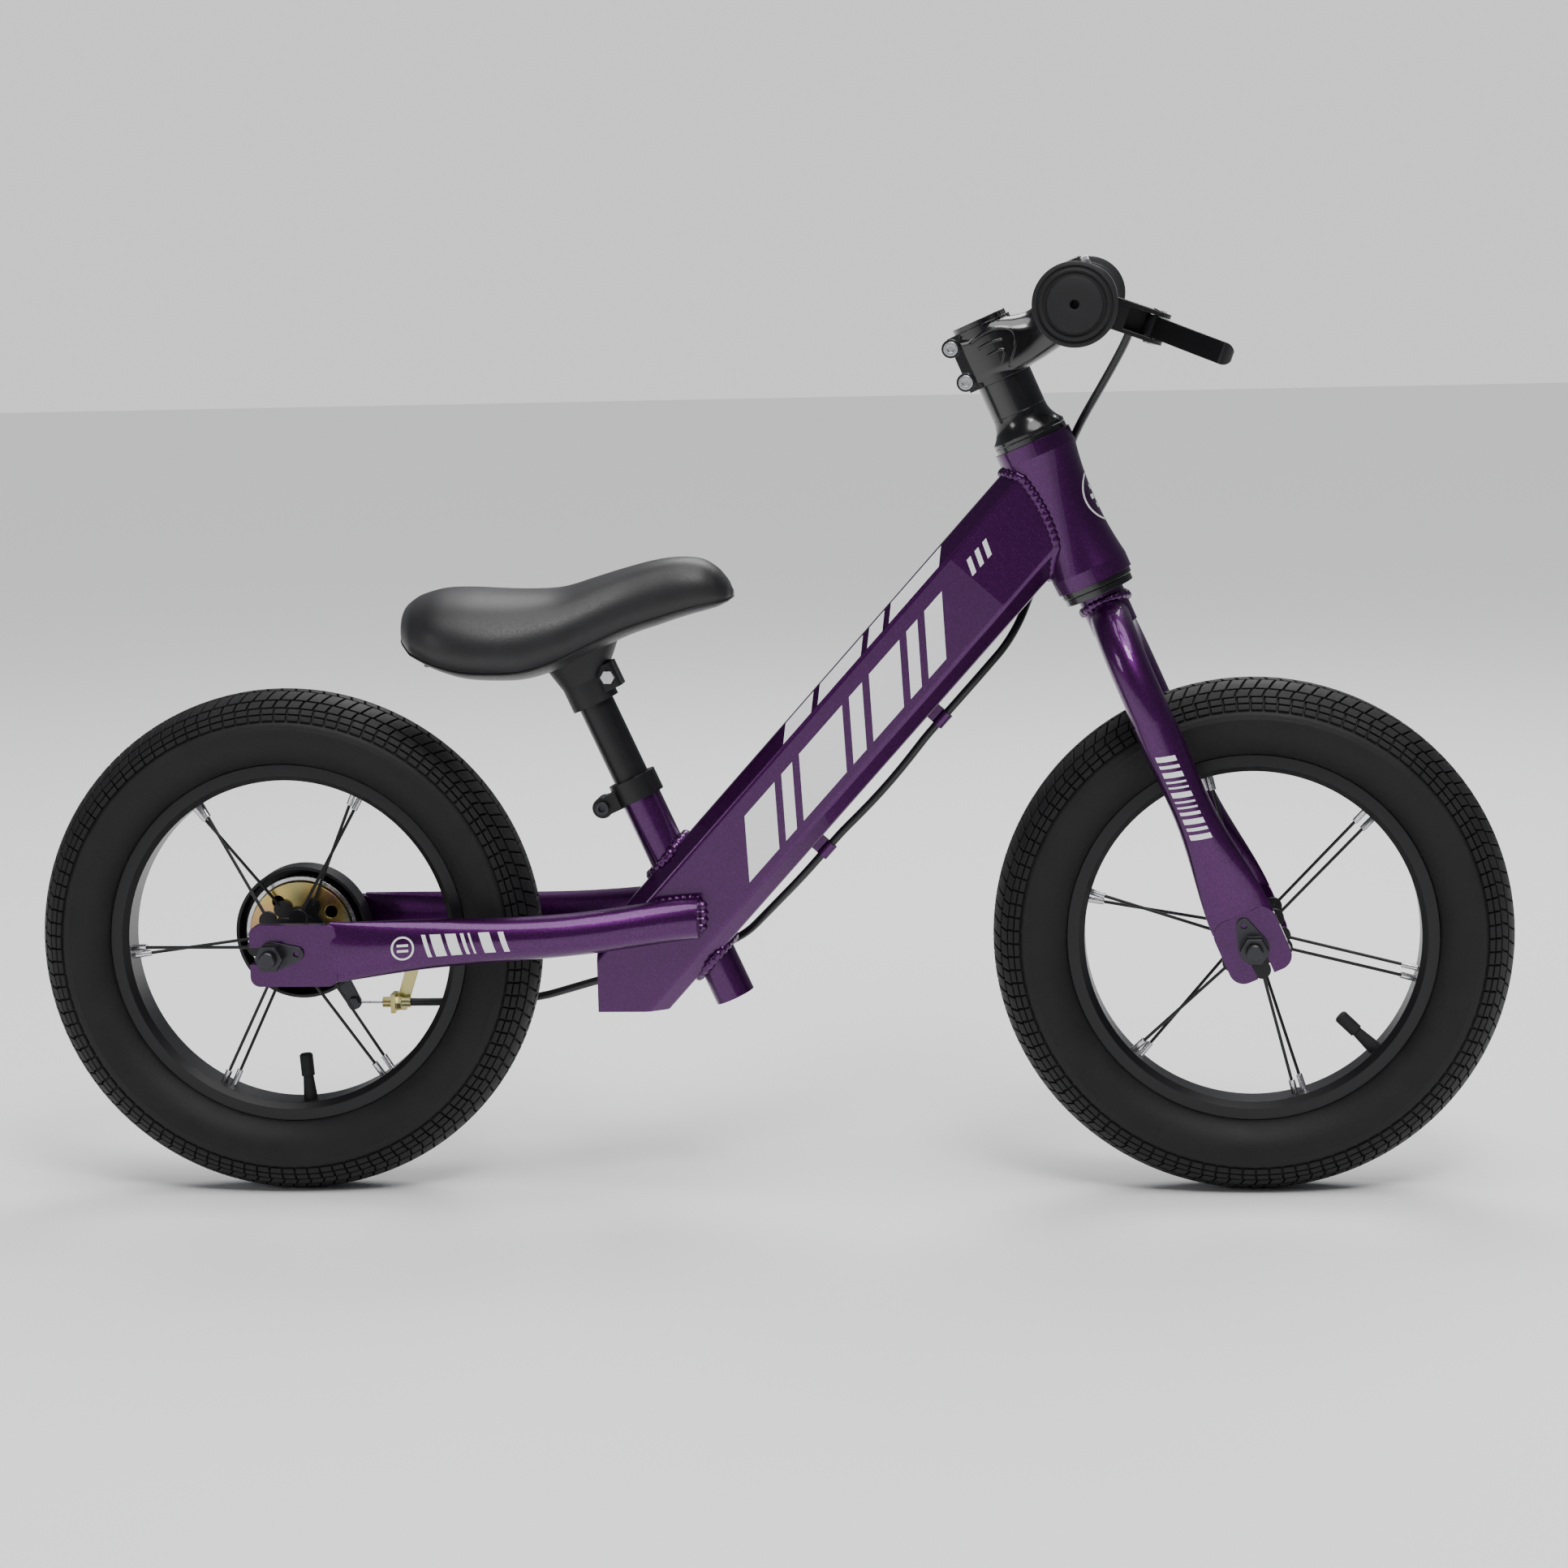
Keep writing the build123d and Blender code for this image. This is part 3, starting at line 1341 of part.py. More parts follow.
def make_cable_stop():
    """Plated strip under the left stay, with the adjuster that ends the cable."""
    wire_z = axle_height - arm_pivot_below - arm_reach_below
    with BuildPart() as stop:
        with BuildSketch(Plane.XZ.offset(-arm_y - 6.5)):
            with BuildLine():
                Polyline(
                    (cable_stop_x - 3, wire_z - 6),
                    (cable_stop_x + 5, wire_z - 6),
                    (cable_stop_x + 21, wire_z + 42),
                    (cable_stop_x + 12, wire_z + 42),
                    close=True,
                )
            make_face()
        extrude(amount=2.4)
        with BuildSketch(Plane.YZ.offset(cable_stop_x - 3)):
            with Locations((arm_y, wire_z)):
                Rectangle(13, 12)
        extrude(amount=3)
        with BuildSketch(Plane.YZ.offset(cable_stop_x - 9)):
            with Locations((arm_y, wire_z)):
                Circle(3.4)
        extrude(amount=18)
        with BuildSketch(Plane.YZ.offset(cable_stop_x)):
            with Locations((arm_y, wire_z)):
                RegularPolygon(4.4, 6)
        extrude(amount=3)
        with BuildSketch(Plane.YZ.offset(cable_stop_x - 9)):
            with Locations((arm_y, wire_z)):
                Circle(wire_radius + 0.2)
        extrude(amount=18, mode=Mode.SUBTRACT)
        stay_body(1, mode=Mode.SUBTRACT)
    save(stop.part, "cable_stop")


def make_brake_wire():
    """Bare inner wire between the cable stop and the arm."""
    wire_z = axle_height - arm_pivot_below - arm_reach_below
    bolt_x = rear_x + arm_pivot_ahead + arm_reach_ahead
    with BuildPart() as wire:
        with BuildSketch(Plane.YZ.offset(bolt_x + 4.5)):
            with Locations((arm_y, wire_z)):
                Circle(wire_radius)
        extrude(amount=cable_stop_x - 9 - bolt_x - 4.5)
    save(wire.part, "brake_wire")


# ---- brake cable --------------------------------------------------------------
def make_cable(name, points, radii):
    """Round cable housing along straight runs joined by arcs."""
    print(name, "arc radii", radii)
    with BuildPart() as cable:
        with BuildLine():
            FilletPolyline(*points, radius=radii)
        with BuildSketch(Plane(points[0], z_dir=points[1] - points[0])):
            Circle(cable_radius)
        sweep()
    save(cable.part, name)


def make_cable_loop():
    """Free loop from the lever's adjuster, round the head tube, to the first guide."""
    leaves = adjuster_start + Vector(0, adjuster_length, 0)
    joins = cable_on_tube(guide_backs[0] - guide_length / 2)
    points = [
        leaves,
        leaves + Vector(0, 13, 0),
        on_fork(297, 8, 34),
        on_fork(251, -33, 34),
        joins + tube_up * 42,
        joins,
    ]
    make_cable("cable_loop", points, [24, 75, 80, 62])


def make_brake_cable():
    """Held cable: under the main tube, past the seat tube's foot, to the rear brake."""
    wire_z = axle_height - arm_pivot_below - arm_reach_below
    first, second = guide_backs
    points = [
        cable_on_tube(first - guide_length / 2),
        cable_on_tube(first + 14),
        cable_on_tube((first + second) / 2, 2.5),
        cable_on_tube(second - 14),
        cable_on_tube(second + 24),
        Vector(-14, 22, axle_height - 1),
        Vector(-50, 35, axle_height - 21),
        Vector(-110, 36, axle_height - 33.5),
        Vector(-150, 39.5, axle_height - 45.5),
        Vector(cable_stop_x + 30, arm_y, wire_z),
        Vector(cable_stop_x + 9, arm_y, wire_z),
    ]
    make_cable("brake_cable", points, [150, 400, 150, 60, 60, 80, 120, 100, 150])


def main():
    """Build and write every piece."""
    os.makedirs("parts", exist_ok=True)
    make_wheel("front", front_x, front_spoke_angle)
    make_wheel("rear", rear_x, rear_spoke_angle)
    make_axle("front_axle", front_x, front_hub_width)
    make_axle("rear_axle", rear_x, rear_hub_width)
    front_inner = hub_half_length + side_gap
    make_axle_hardware("front_axle_hardware", front_x, front_hub_width, 180 - head_angle, front_inner)
    make_axle_hardware("rear_axle_hardware", rear_x, rear_hub_width, 6, cover_outer_face)
    make_head_tube()
    make_headset_cups()
    make_headset_bearings()
    make_headset_cone()
    make_crown_race()
    make_spacers()
    make_steerer_tube()
    make_fork_leg("fork_leg_right", -1)
    make_fork_leg("fork_leg_left", 1)
    make_stem()
    make_stem_faceplate()
    make_stem_bolts()
    make_steerer_cap()
    make_handlebar()
    make_grip("grip_right", -1)
    make_grip("grip_left", 1)
    make_lever_bracket()
    make_lever_pin()
    make_brake_lever()
    make_cable_adjuster()
    make_main_tube()
    make_seat_tube()
    make_chain_stay("chain_stay_right", -1)
    make_chain_stay("chain_stay_left", 1)
    make_cable_guides()
    make_seat_collar()
    make_seat_collar_bolt()
    make_seat_post()
    make_saddle_base()
    make_saddle_bolt()
    make_saddle_pad()
    make_brake_drum()
    make_brake_band()
    make_brake_cover()
    make_brake_arm()
    make_brake_spring()
    make_cable_stop()
    make_brake_wire()
    make_cable_loop()
    make_brake_cable()


main()
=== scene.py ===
from math import cos, pi, radians, sin, sqrt

import bmesh
import bpy
from mathutils import Matrix, Vector


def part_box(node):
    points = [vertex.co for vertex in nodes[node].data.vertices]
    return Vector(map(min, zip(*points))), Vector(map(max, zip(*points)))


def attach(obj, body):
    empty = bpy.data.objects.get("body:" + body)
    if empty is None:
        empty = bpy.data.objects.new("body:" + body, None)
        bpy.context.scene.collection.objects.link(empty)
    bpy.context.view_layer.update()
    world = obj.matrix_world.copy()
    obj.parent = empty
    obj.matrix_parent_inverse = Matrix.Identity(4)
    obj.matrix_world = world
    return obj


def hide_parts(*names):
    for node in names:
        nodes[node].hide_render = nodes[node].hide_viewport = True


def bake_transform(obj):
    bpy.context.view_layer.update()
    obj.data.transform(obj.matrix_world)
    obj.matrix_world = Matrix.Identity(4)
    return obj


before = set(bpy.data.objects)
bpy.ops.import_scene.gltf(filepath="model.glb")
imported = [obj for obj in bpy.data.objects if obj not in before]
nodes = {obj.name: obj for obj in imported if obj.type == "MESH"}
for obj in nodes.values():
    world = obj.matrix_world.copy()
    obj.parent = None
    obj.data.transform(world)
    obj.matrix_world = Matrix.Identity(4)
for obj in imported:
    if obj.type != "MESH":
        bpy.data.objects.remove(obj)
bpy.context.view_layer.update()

# Sizes that the pieces share with the CAD model, in metres.
AXLE_HEIGHT = 0.158
AXLE_X = {"front": 0.298, "rear": -0.298}
HEAD_ANGLE = radians(66.8)
STEER_UP = Vector((-cos(HEAD_ANGLE), 0, sin(HEAD_ANGLE)))
STEER_AHEAD = Vector((sin(HEAD_ANGLE), 0, cos(HEAD_ANGLE)))
TUBE_ANGLE = radians(47.9)
TUBE_UP = Vector((cos(TUBE_ANGLE), 0, sin(TUBE_ANGLE)))
TUBE_NORMAL = Vector((-sin(TUBE_ANGLE), 0, cos(TUBE_ANGLE)))
SEAT_ANGLE = radians(66)
SEAT_UP = Vector((-cos(SEAT_ANGLE), 0, sin(SEAT_ANGLE)))
SEAT_AHEAD = Vector((sin(SEAT_ANGLE), 0, cos(SEAT_ANGLE)))
SEAT_FOOT_X = -0.0203
SEAT_FOOT_Z = 0.121
LEFT = Vector((0, 1, 0))
TUBE_JOINT = 0.2955
TUBE_HALF_HEIGHT = 0.0315
TUBE_HALF_WIDTH = 0.023
TUBE_NECK_HALF_WIDTH = 0.0175
TUBE_NECK_LENGTH = 0.070
TUBE_BEVEL = 0.009
HEAD_BOTTOM = 0.237
HEAD_TOP = 0.3295
HEAD_BAND = 0.009
HEAD_END_RADIUS = 0.024
HEAD_WAIST_RADIUS = 0.0205
STEM_BOTTOM = 0.3709
STEM_TOP = 0.4059
FORK_LEG_OFFSET = 0.045
TYRE_CENTRE_RADIUS = 0.133
TYRE_HALF_WIDTH = 0.028
TYRE_HALF_HEIGHT = 0.025
TYRE_WALL = 0.0028

# Sizes of the finishing details, in metres.
BEVEL_RADIUS = 0.0007
TREAD_PITCHES = 112
TREAD_HEIGHT = 0.0020
CABLE_RADIUS = 0.0025
BEAD_RADIUS = 0.0030
BEAD_PITCH = 0.0042
BEAD_RIPPLE = 0.2
SEAT_BEAD_RING = 0.0153
FILM_LIFT = 0.0003
TUBE_FILM_LIFT = 0.00025


def on_fork(along, ahead=0.0, left=0.0):
    """Point on the steered parts, measured from the front axle."""
    return Vector((AXLE_X["front"], left, AXLE_HEIGHT)) + STEER_UP * along + STEER_AHEAD * ahead


def on_tube(back, off=0.0, left=0.0):
    """Point on the main tube, measured back from the head tube and up from its middle."""
    return on_fork(TUBE_JOINT, 0, left) - TUBE_UP * back + TUBE_NORMAL * off


def on_seat(along, ahead=0.0, left=0.0):
    """Point on the seat tube's line, measured up from its foot."""
    return Vector((SEAT_FOOT_X, left, SEAT_FOOT_Z)) + SEAT_UP * along + SEAT_AHEAD * ahead


# ---- camera, floor and light ----------------------------------------------------
def add_camera():
    """Camera at the photograph's place, level with the handlebar and a little ahead."""
    yaw, pitch, roll = 0.1010, 0.1406, -0.0236
    ahead = Vector((-sin(yaw) * cos(pitch), cos(yaw) * cos(pitch), -sin(pitch)))
    right = Vector((cos(yaw), sin(yaw), 0))
    up = right.cross(ahead)
    turned_right = right * cos(roll) + up * sin(roll)
    turned_up = up * cos(roll) - right * sin(roll)
    data = bpy.data.cameras.new("camera")
    data.lens = 88.3
    data.sensor_width = 36
    camera = bpy.data.objects.new("camera", data)
    bpy.context.scene.collection.objects.link(camera)
    matrix = Matrix((turned_right, turned_up, -ahead)).transposed().to_4x4()
    matrix.translation = Vector((0.2488, -2.3275, 0.5843))
    camera.matrix_world = matrix
    bpy.context.scene.camera = camera


def add_area_light(name, place, target, size, power):
    """Soft square light aimed at a point."""
    data = bpy.data.lights.new(name, "AREA")
    data.energy = power
    data.size = size
    light = bpy.data.objects.new(name, data)
    light.location = place
    light.rotation_euler = (Vector(target) - Vector(place)).to_track_quat("-Z", "Y").to_euler()
    bpy.context.scene.collection.objects.link(light)


def add_studio():
    """Pale floor, a dim room that the camera sees as white, three soft lights and a sun."""
    world = bpy.data.worlds.new("studio")
    world.use_nodes = True
    tree = world.node_tree
    seen = tree.nodes["Background"]
    seen.inputs["Color"].default_value = (1, 1, 1, 1)
    seen.inputs["Strength"].default_value = 1.0
    room = tree.nodes.new("ShaderNodeBackground")
    room.inputs["Color"].default_value = (0.9, 0.93, 1, 1)
    room.inputs["Strength"].default_value = 0.16
    path = tree.nodes.new("ShaderNodeLightPath")
    mix = tree.nodes.new("ShaderNodeMixShader")
    tree.links.new(path.outputs["Is Camera Ray"], mix.inputs["Fac"])
    tree.links.new(room.outputs["Background"], mix.inputs[1])
    tree.links.new(seen.outputs["Background"], mix.inputs[2])
    tree.links.new(mix.outputs["Shader"], tree.nodes["World Output"].inputs["Surface"])
    bpy.context.scene.world = world
    mesh = bpy.data.meshes.new("floor")
    reach = 12
    mesh.from_pydata(
        [(-reach, -reach, 0), (reach, -reach, 0), (reach, reach, 0), (-reach, reach, 0)],
        [],
        [(0, 1, 2, 3)],
    )
    floor = bpy.data.objects.new("floor", mesh)
    bpy.context.scene.collection.objects.link(floor)
    finish = make_material("floor", (0.9, 0.9, 0.9), metallic=0, roughness=0.6)[0]
    floor.data.materials.append(finish)
    add_area_light("key", (0.7, -1.8, 2.5), (0, 0, 0.25), 0.8, 40)
    add_area_light("fill", (-2.4, -1.9, 1.1), (0, 0, 0.25), 0.8, 12)
    add_area_light("rim", (0.2, 1.6, 2.2), (0, 0, 0.25), 1.4, 45)
    sky = bpy.data.lights.new("sky", "SUN")
    sky.energy = 2.6
    sky.angle = radians(50)
    lamp = bpy.data.objects.new("sky", sky)
    lamp.rotation_euler = (radians(14), radians(6), 0)
    bpy.context.scene.collection.objects.link(lamp)


# ---- materials ------------------------------------------------------------------
def make_material(name, colour, metallic, roughness, coat=0.0, coat_roughness=0.05):
    """Principled material; returns it with its node tree and shader."""
    material = bpy.data.materials.new(name)
    material.use_nodes = True
    tree = material.node_tree
    shader = tree.nodes["Principled BSDF"]
    shader.inputs["Base Color"].default_value = (*colour, 1)
    shader.inputs["Metallic"].default_value = metallic
    shader.inputs["Roughness"].default_value = roughness
    shader.inputs["Coat Weight"].default_value = coat
    shader.inputs["Coat Roughness"].default_value = coat_roughness
    return material, tree, shader


def texture(tree, kind, scale, **settings):
    """Texture node that reads the object's own coordinates."""
    place = tree.nodes.new("ShaderNodeTexCoord")
    node = tree.nodes.new(kind)
    node.inputs["Scale"].default_value = scale
    for key, value in settings.items():
        node.inputs[key].default_value = value
    tree.links.new(place.outputs["Object"], node.inputs["Vector"])
    return node


def add_bump(tree, shader, source, strength, distance, coat=False):
    """Bump from a texture's output, chained after any bump already there."""
    bump = tree.nodes.new("ShaderNodeBump")
    bump.inputs["Strength"].default_value = strength
    bump.inputs["Distance"].default_value = distance
    tree.links.new(source, bump.inputs["Height"])
    if shader.inputs["Normal"].is_linked:
        tree.links.new(shader.inputs["Normal"].links[0].from_socket, bump.inputs["Normal"])
    else:
        edges = tree.nodes.new("ShaderNodeBevel")
        edges.inputs["Radius"].default_value = BEVEL_RADIUS
        tree.links.new(edges.outputs["Normal"], bump.inputs["Normal"])
    tree.links.new(bump.outputs["Normal"], shader.inputs["Normal"])
    if coat:
        tree.links.new(bump.outputs["Normal"], shader.inputs["Coat Normal"])


def add_colours(tree, shader, source, stops):
    """Colour ramp from a texture's output to the base colour."""
    ramp = tree.nodes.new("ShaderNodeValToRGB")
    while len(ramp.color_ramp.elements) < len(stops):
        ramp.color_ramp.elements.new(0.5)
    for element, (place, colour) in zip(ramp.color_ramp.elements, stops):
        element.position = place
        element.color = (*colour, 1)
    tree.links.new(source, ramp.inputs["Fac"])
    tree.links.new(ramp.outputs["Color"], shader.inputs["Base Color"])


def add_roughness(tree, shader, source, low, high):
    """Roughness that follows a texture between two values."""
    spread = tree.nodes.new("ShaderNodeMapRange")
    spread.inputs["To Min"].default_value = low
    spread.inputs["To Max"].default_value = high
    tree.links.new(source, spread.inputs["Value"])
    tree.links.new(spread.outputs["Result"], shader.inputs["Roughness"])


def make_materials():
    """All the finishes, by name."""
    made = {}
    paint, tree, shader = make_material(
        "purple_paint", (0.055, 0.003, 0.072),
        metallic=0.85, roughness=0.36, coat=0.6, coat_roughness=0.03,
    )
    flakes = texture(tree, "ShaderNodeTexVoronoi", scale=3200)
    add_colours(
        tree,
        shader,
        flakes.outputs["Color"],
        [
            (0.0, (0.034, 0.0012, 0.046)),
            (0.65, (0.058, 0.0022, 0.076)),
            (1.0, (0.140, 0.015, 0.180)),
        ],
    )
    add_bump(tree, shader, flakes.outputs["Distance"], strength=0.12, distance=0.00004)
    made["paint"] = paint

    gloss, tree, shader = make_material(
        "gloss_black", (0.003, 0.003, 0.0035),
        metallic=0.0, roughness=0.2, coat=0.5, coat_roughness=0.05,
    )
    peel = texture(tree, "ShaderNodeTexNoise", scale=180, Detail=2.0)
    add_bump(tree, shader, peel.outputs["Fac"], strength=0.06, distance=0.0003, coat=True)
    add_roughness(tree, shader, peel.outputs["Fac"], low=0.17, high=0.3)
    made["gloss"] = gloss

    satin, tree, shader = make_material(
        "satin_black", (0.006, 0.006, 0.007), metallic=0.3, roughness=0.36
    )
    grain = texture(tree, "ShaderNodeTexNoise", scale=1400, Detail=4.0)
    add_bump(tree, shader, grain.outputs["Fac"], strength=0.15, distance=0.00006)
    add_roughness(tree, shader, grain.outputs["Fac"], low=0.3, high=0.46)
    made["satin"] = satin

    steel, tree, shader = make_material(
        "bright_steel", (0.62, 0.62, 0.64), metallic=1.0, roughness=0.25
    )
    brushed = texture(tree, "ShaderNodeTexNoise", scale=900, Detail=3.0)
    add_bump(tree, shader, brushed.outputs["Fac"], strength=0.1, distance=0.00004)
    add_roughness(tree, shader, brushed.outputs["Fac"], low=0.16, high=0.36)
    made["steel"] = steel

    dark, tree, shader = make_material(
        "dark_steel", (0.05, 0.05, 0.055), metallic=0.9, roughness=0.35
    )
    spots = texture(tree, "ShaderNodeTexNoise", scale=700, Detail=4.0)
    add_bump(tree, shader, spots.outputs["Fac"], strength=0.12, distance=0.00005)
    add_roughness(tree, shader, spots.outputs["Fac"], low=0.28, high=0.45)
    made["dark"] = dark

    zinc, tree, shader = make_material("gold_zinc", (0.5, 0.36, 0.12), metallic=1.0, roughness=0.3)
    bands = texture(tree, "ShaderNodeTexNoise", scale=28, Detail=2.0, Distortion=1.2)
    add_colours(
        tree,
        shader,
        bands.outputs["Fac"],
        [
            (0.30, (0.46, 0.24, 0.20)),
            (0.45, (0.62, 0.44, 0.14)),
            (0.58, (0.55, 0.50, 0.22)),
            (0.72, (0.34, 0.40, 0.26)),
        ],
    )
    fine = texture(tree, "ShaderNodeTexNoise", scale=1100, Detail=3.0)
    add_bump(tree, shader, fine.outputs["Fac"], strength=0.12, distance=0.00005)
    add_roughness(tree, shader, fine.outputs["Fac"], low=0.2, high=0.42)
    made["zinc"] = zinc

    tyre, tree, shader = make_material(
        "tyre_rubber", (0.016, 0.016, 0.018), metallic=0.0, roughness=0.62
    )
    shader.inputs["Specular IOR Level"].default_value = 0.28
    fabric = texture(tree, "ShaderNodeTexVoronoi", scale=520)
    cloud = texture(tree, "ShaderNodeTexNoise", scale=40, Detail=4.0)
    add_colours(
        tree,
        shader,
        cloud.outputs["Fac"],
        [(0.3, (0.0050, 0.0050, 0.0056)), (0.75, (0.0100, 0.0096, 0.0106))],
    )
    add_bump(tree, shader, fabric.outputs["Distance"], strength=0.35, distance=0.00025)
    add_roughness(tree, shader, cloud.outputs["Fac"], low=0.5, high=0.75)
    made["tyre"] = tyre

    rubber, tree, shader = make_material(
        "grip_rubber", (0.008, 0.008, 0.009), metallic=0.0, roughness=0.66
    )
    shader.inputs["Specular IOR Level"].default_value = 0.35
    matt = texture(tree, "ShaderNodeTexNoise", scale=1500, Detail=5.0)
    add_bump(tree, shader, matt.outputs["Fac"], strength=0.3, distance=0.00012)
    add_roughness(tree, shader, matt.outputs["Fac"], low=0.58, high=0.8)
    made["rubber"] = rubber

    plastic, tree, shader = make_material(
        "moulded_plastic", (0.006, 0.006, 0.007), metallic=0.0, roughness=0.5
    )
    shader.inputs["Specular IOR Level"].default_value = 0.4
    moulded = texture(tree, "ShaderNodeTexNoise", scale=1100, Detail=4.0)
    add_bump(tree, shader, moulded.outputs["Fac"], strength=0.25, distance=0.0001)
    add_roughness(tree, shader, moulded.outputs["Fac"], low=0.42, high=0.6)
    made["plastic"] = plastic

    skin, tree, shader = make_material(
        "saddle_skin", (0.006, 0.006, 0.007), metallic=0.0, roughness=0.44
    )
    shader.inputs["Specular IOR Level"].default_value = 0.45
    hide = texture(tree, "ShaderNodeTexVoronoi", scale=900)
    soft = texture(tree, "ShaderNodeTexNoise", scale=60, Detail=3.0)
    add_colours(
        tree,
        shader,
        soft.outputs["Fac"],
        [(0.3, (0.0050, 0.0050, 0.0058)), (0.7, (0.0085, 0.0085, 0.0098))],
    )
    add_bump(tree, shader, hide.outputs["Distance"], strength=0.22, distance=0.00012)
    shader.inputs["Sheen Weight"].default_value = 0.05
    add_roughness(tree, shader, hide.outputs["Distance"], low=0.4, high=0.52)
    made["skin"] = skin

    housing, tree, shader = make_material(
        "cable_housing", (0.010, 0.010, 0.011), metallic=0.0, roughness=0.34
    )
    drawn = texture(tree, "ShaderNodeTexNoise", scale=800, Detail=2.0)
    add_bump(tree, shader, drawn.outputs["Fac"], strength=0.1, distance=0.00005)
    add_roughness(tree, shader, drawn.outputs["Fac"], low=0.28, high=0.42)
    made["housing"] = housing

    white, tree, shader = make_material(
        "white_decal", (0.80, 0.80, 0.82),
        metallic=0.0, roughness=0.3, coat=1.0, coat_roughness=0.05,
    )
    film = texture(tree, "ShaderNodeTexNoise", scale=300, Detail=2.0)
    add_roughness(tree, shader, film.outputs["Fac"], low=0.25, high=0.4)
    made["white"] = white
    return made


FINISHES = {
    "paint": (
        "main_tube head_tube seat_tube chain_stay_right chain_stay_left cable_guides "
        "fork_leg_right fork_leg_left steerer_tube"
    ),
    "gloss": "stem stem_faceplate spacers headset_cone headset_cups crown_race steerer_cap",
    "satin": (
        "handlebar seat_post seat_collar front_rim rear_rim brake_cover lever_bracket "
        "brake_lever cable_adjuster front_hub rear_hub front_spokes rear_spokes"
    ),
    "steel": (
        "stem_bolts lever_pin front_nipples rear_nipples saddle_clamp_bolt brake_wire "
        "headset_bearings front_hub_bearings rear_hub_bearings brake_band brake_spring"
    ),
    "dark": (
        "front_axle rear_axle front_axle_hardware rear_axle_hardware seat_collar_bolt brake_arm"
    ),
    "zinc": "brake_drum cable_stop",
    "tyre": "front_tyre rear_tyre",
    "rubber": (
        "grip_right grip_left front_valve rear_valve front_inner_tube rear_inner_tube"
    ),
    "plastic": "saddle_base",
    "skin": "saddle_pad",
    "housing": "cable_loop brake_cable",
}


def paint_nodes():
    """Give every CAD node its finish and smooth shading between soft edges."""
    for finish, names in FINISHES.items():
        for name in names.split():
            mesh = nodes[name].data
            mesh.materials.clear()
            mesh.materials.append(materials[finish])
            mesh.shade_smooth()
            mesh.set_sharp_from_angle(angle=radians(32))


# ---- mesh helpers ---------------------------------------------------------------
def new_piece(name, vertices, faces, finish, sharp=None):
    """Object from plain lists, with one finish."""
    mesh = bpy.data.meshes.new(name)
    mesh.from_pydata([tuple(v) for v in vertices], [], faces)
    mesh.validate()
    bm = bmesh.new()
    bm.from_mesh(mesh)
    bmesh.ops.recalc_face_normals(bm, faces=bm.faces)
    bm.to_mesh(mesh)
    bm.free()
    mesh.materials.append(materials[finish])
    mesh.shade_smooth()
    if sharp:
        mesh.set_sharp_from_angle(angle=radians(sharp))
    piece = bpy.data.objects.new(name, mesh)
    bpy.context.scene.collection.objects.link(piece)
    return piece


def join_lists(vertices, faces, more_vertices, more_faces):
    """Add one vertex and face list to another."""
    start = len(vertices)
    vertices.extend(more_vertices)
    faces.extend([tuple(start + i for i in face) for face in more_faces])


def closed_rings(rings, loop_ends=False):
    """Faces between rings of equal length; the ends are capped or joined to each other."""
    count = len(rings[0])
    vertices = [p for ring in rings for p in ring]
    faces = []
    last = len(rings) if loop_ends else len(rings) - 1
    for k in range(last):
        a = k * count
        b = ((k + 1) % len(rings)) * count
        for i in range(count):
            j = (i + 1) % count
            faces.append((a + i, a + j, b + j, b + i))
    if not loop_ends:
        faces.append(tuple(range(count))[::-1])
        faces.append(tuple((len(rings) - 1) * count + i for i in range(count)))
    return vertices, faces


def revolved(profile, centre, axis, start, steps):
    """Closed profile of (along, radius) turned about an axis."""
    axis = axis.normalized()
    side = axis.cross(start).normalized()
    rings = []
    for k in range(steps):
        turn = 2 * pi * k / steps
        outwards = start * cos(turn) + side * sin(turn)
        rings.append([centre + axis * along + outwards * radius for along, radius in profile])
    return closed_rings(rings, loop_ends=True)


def tube_along(points, radius, sides=16, ripple=0.0, pitch=0.003, squash=1.0, up=None):
    """Round tube through points; a ripple makes it a weld bead."""
    rings = []
    travelled = 0.0
    normal = None
    for k, point in enumerate(points):
        before = points[max(k - 1, 0)]
        after = points[min(k + 1, len(points) - 1)]
        tangent = (after - before).normalized()
        if k:
            travelled += (point - points[k - 1]).length
        if up is not None:
            normal = up[k] - tangent * up[k].dot(tangent)
        elif normal is None:
            normal = tangent.orthogonal()
        normal = (normal - tangent * normal.dot(tangent)).normalized()
        side = tangent.cross(normal)
        size = radius * (1 + ripple * cos(2 * pi * travelled / pitch))
        rings.append(
            [
                point
                + normal * (size * squash * cos(2 * pi * i / sides))
                + side * (size * sin(2 * pi * i / sides))
                for i in range(sides)
            ]
        )
    return closed_rings(rings)


def nurbs_points(route, resolution=16):
    """Points along a smooth NURBS line with the route as its control points."""
    curve = bpy.data.curves.new("route", "CURVE")
    curve.dimensions = "3D"
    spline = curve.splines.new("NURBS")
    spline.points.add(len(route) - 1)
    for point, place in zip(spline.points, route):
        point.co = (*place, 1)
    spline.order_u = 3
    spline.use_endpoint_u = True
    spline.resolution_u = resolution
    holder = bpy.data.objects.new("route", curve)
    mesh = bpy.data.meshes.new_from_object(holder)
    points = [v.co.copy() for v in mesh.vertices]
    bpy.data.objects.remove(holder)
    bpy.data.curves.remove(curve)
    bpy.data.meshes.remove(mesh)
    return points


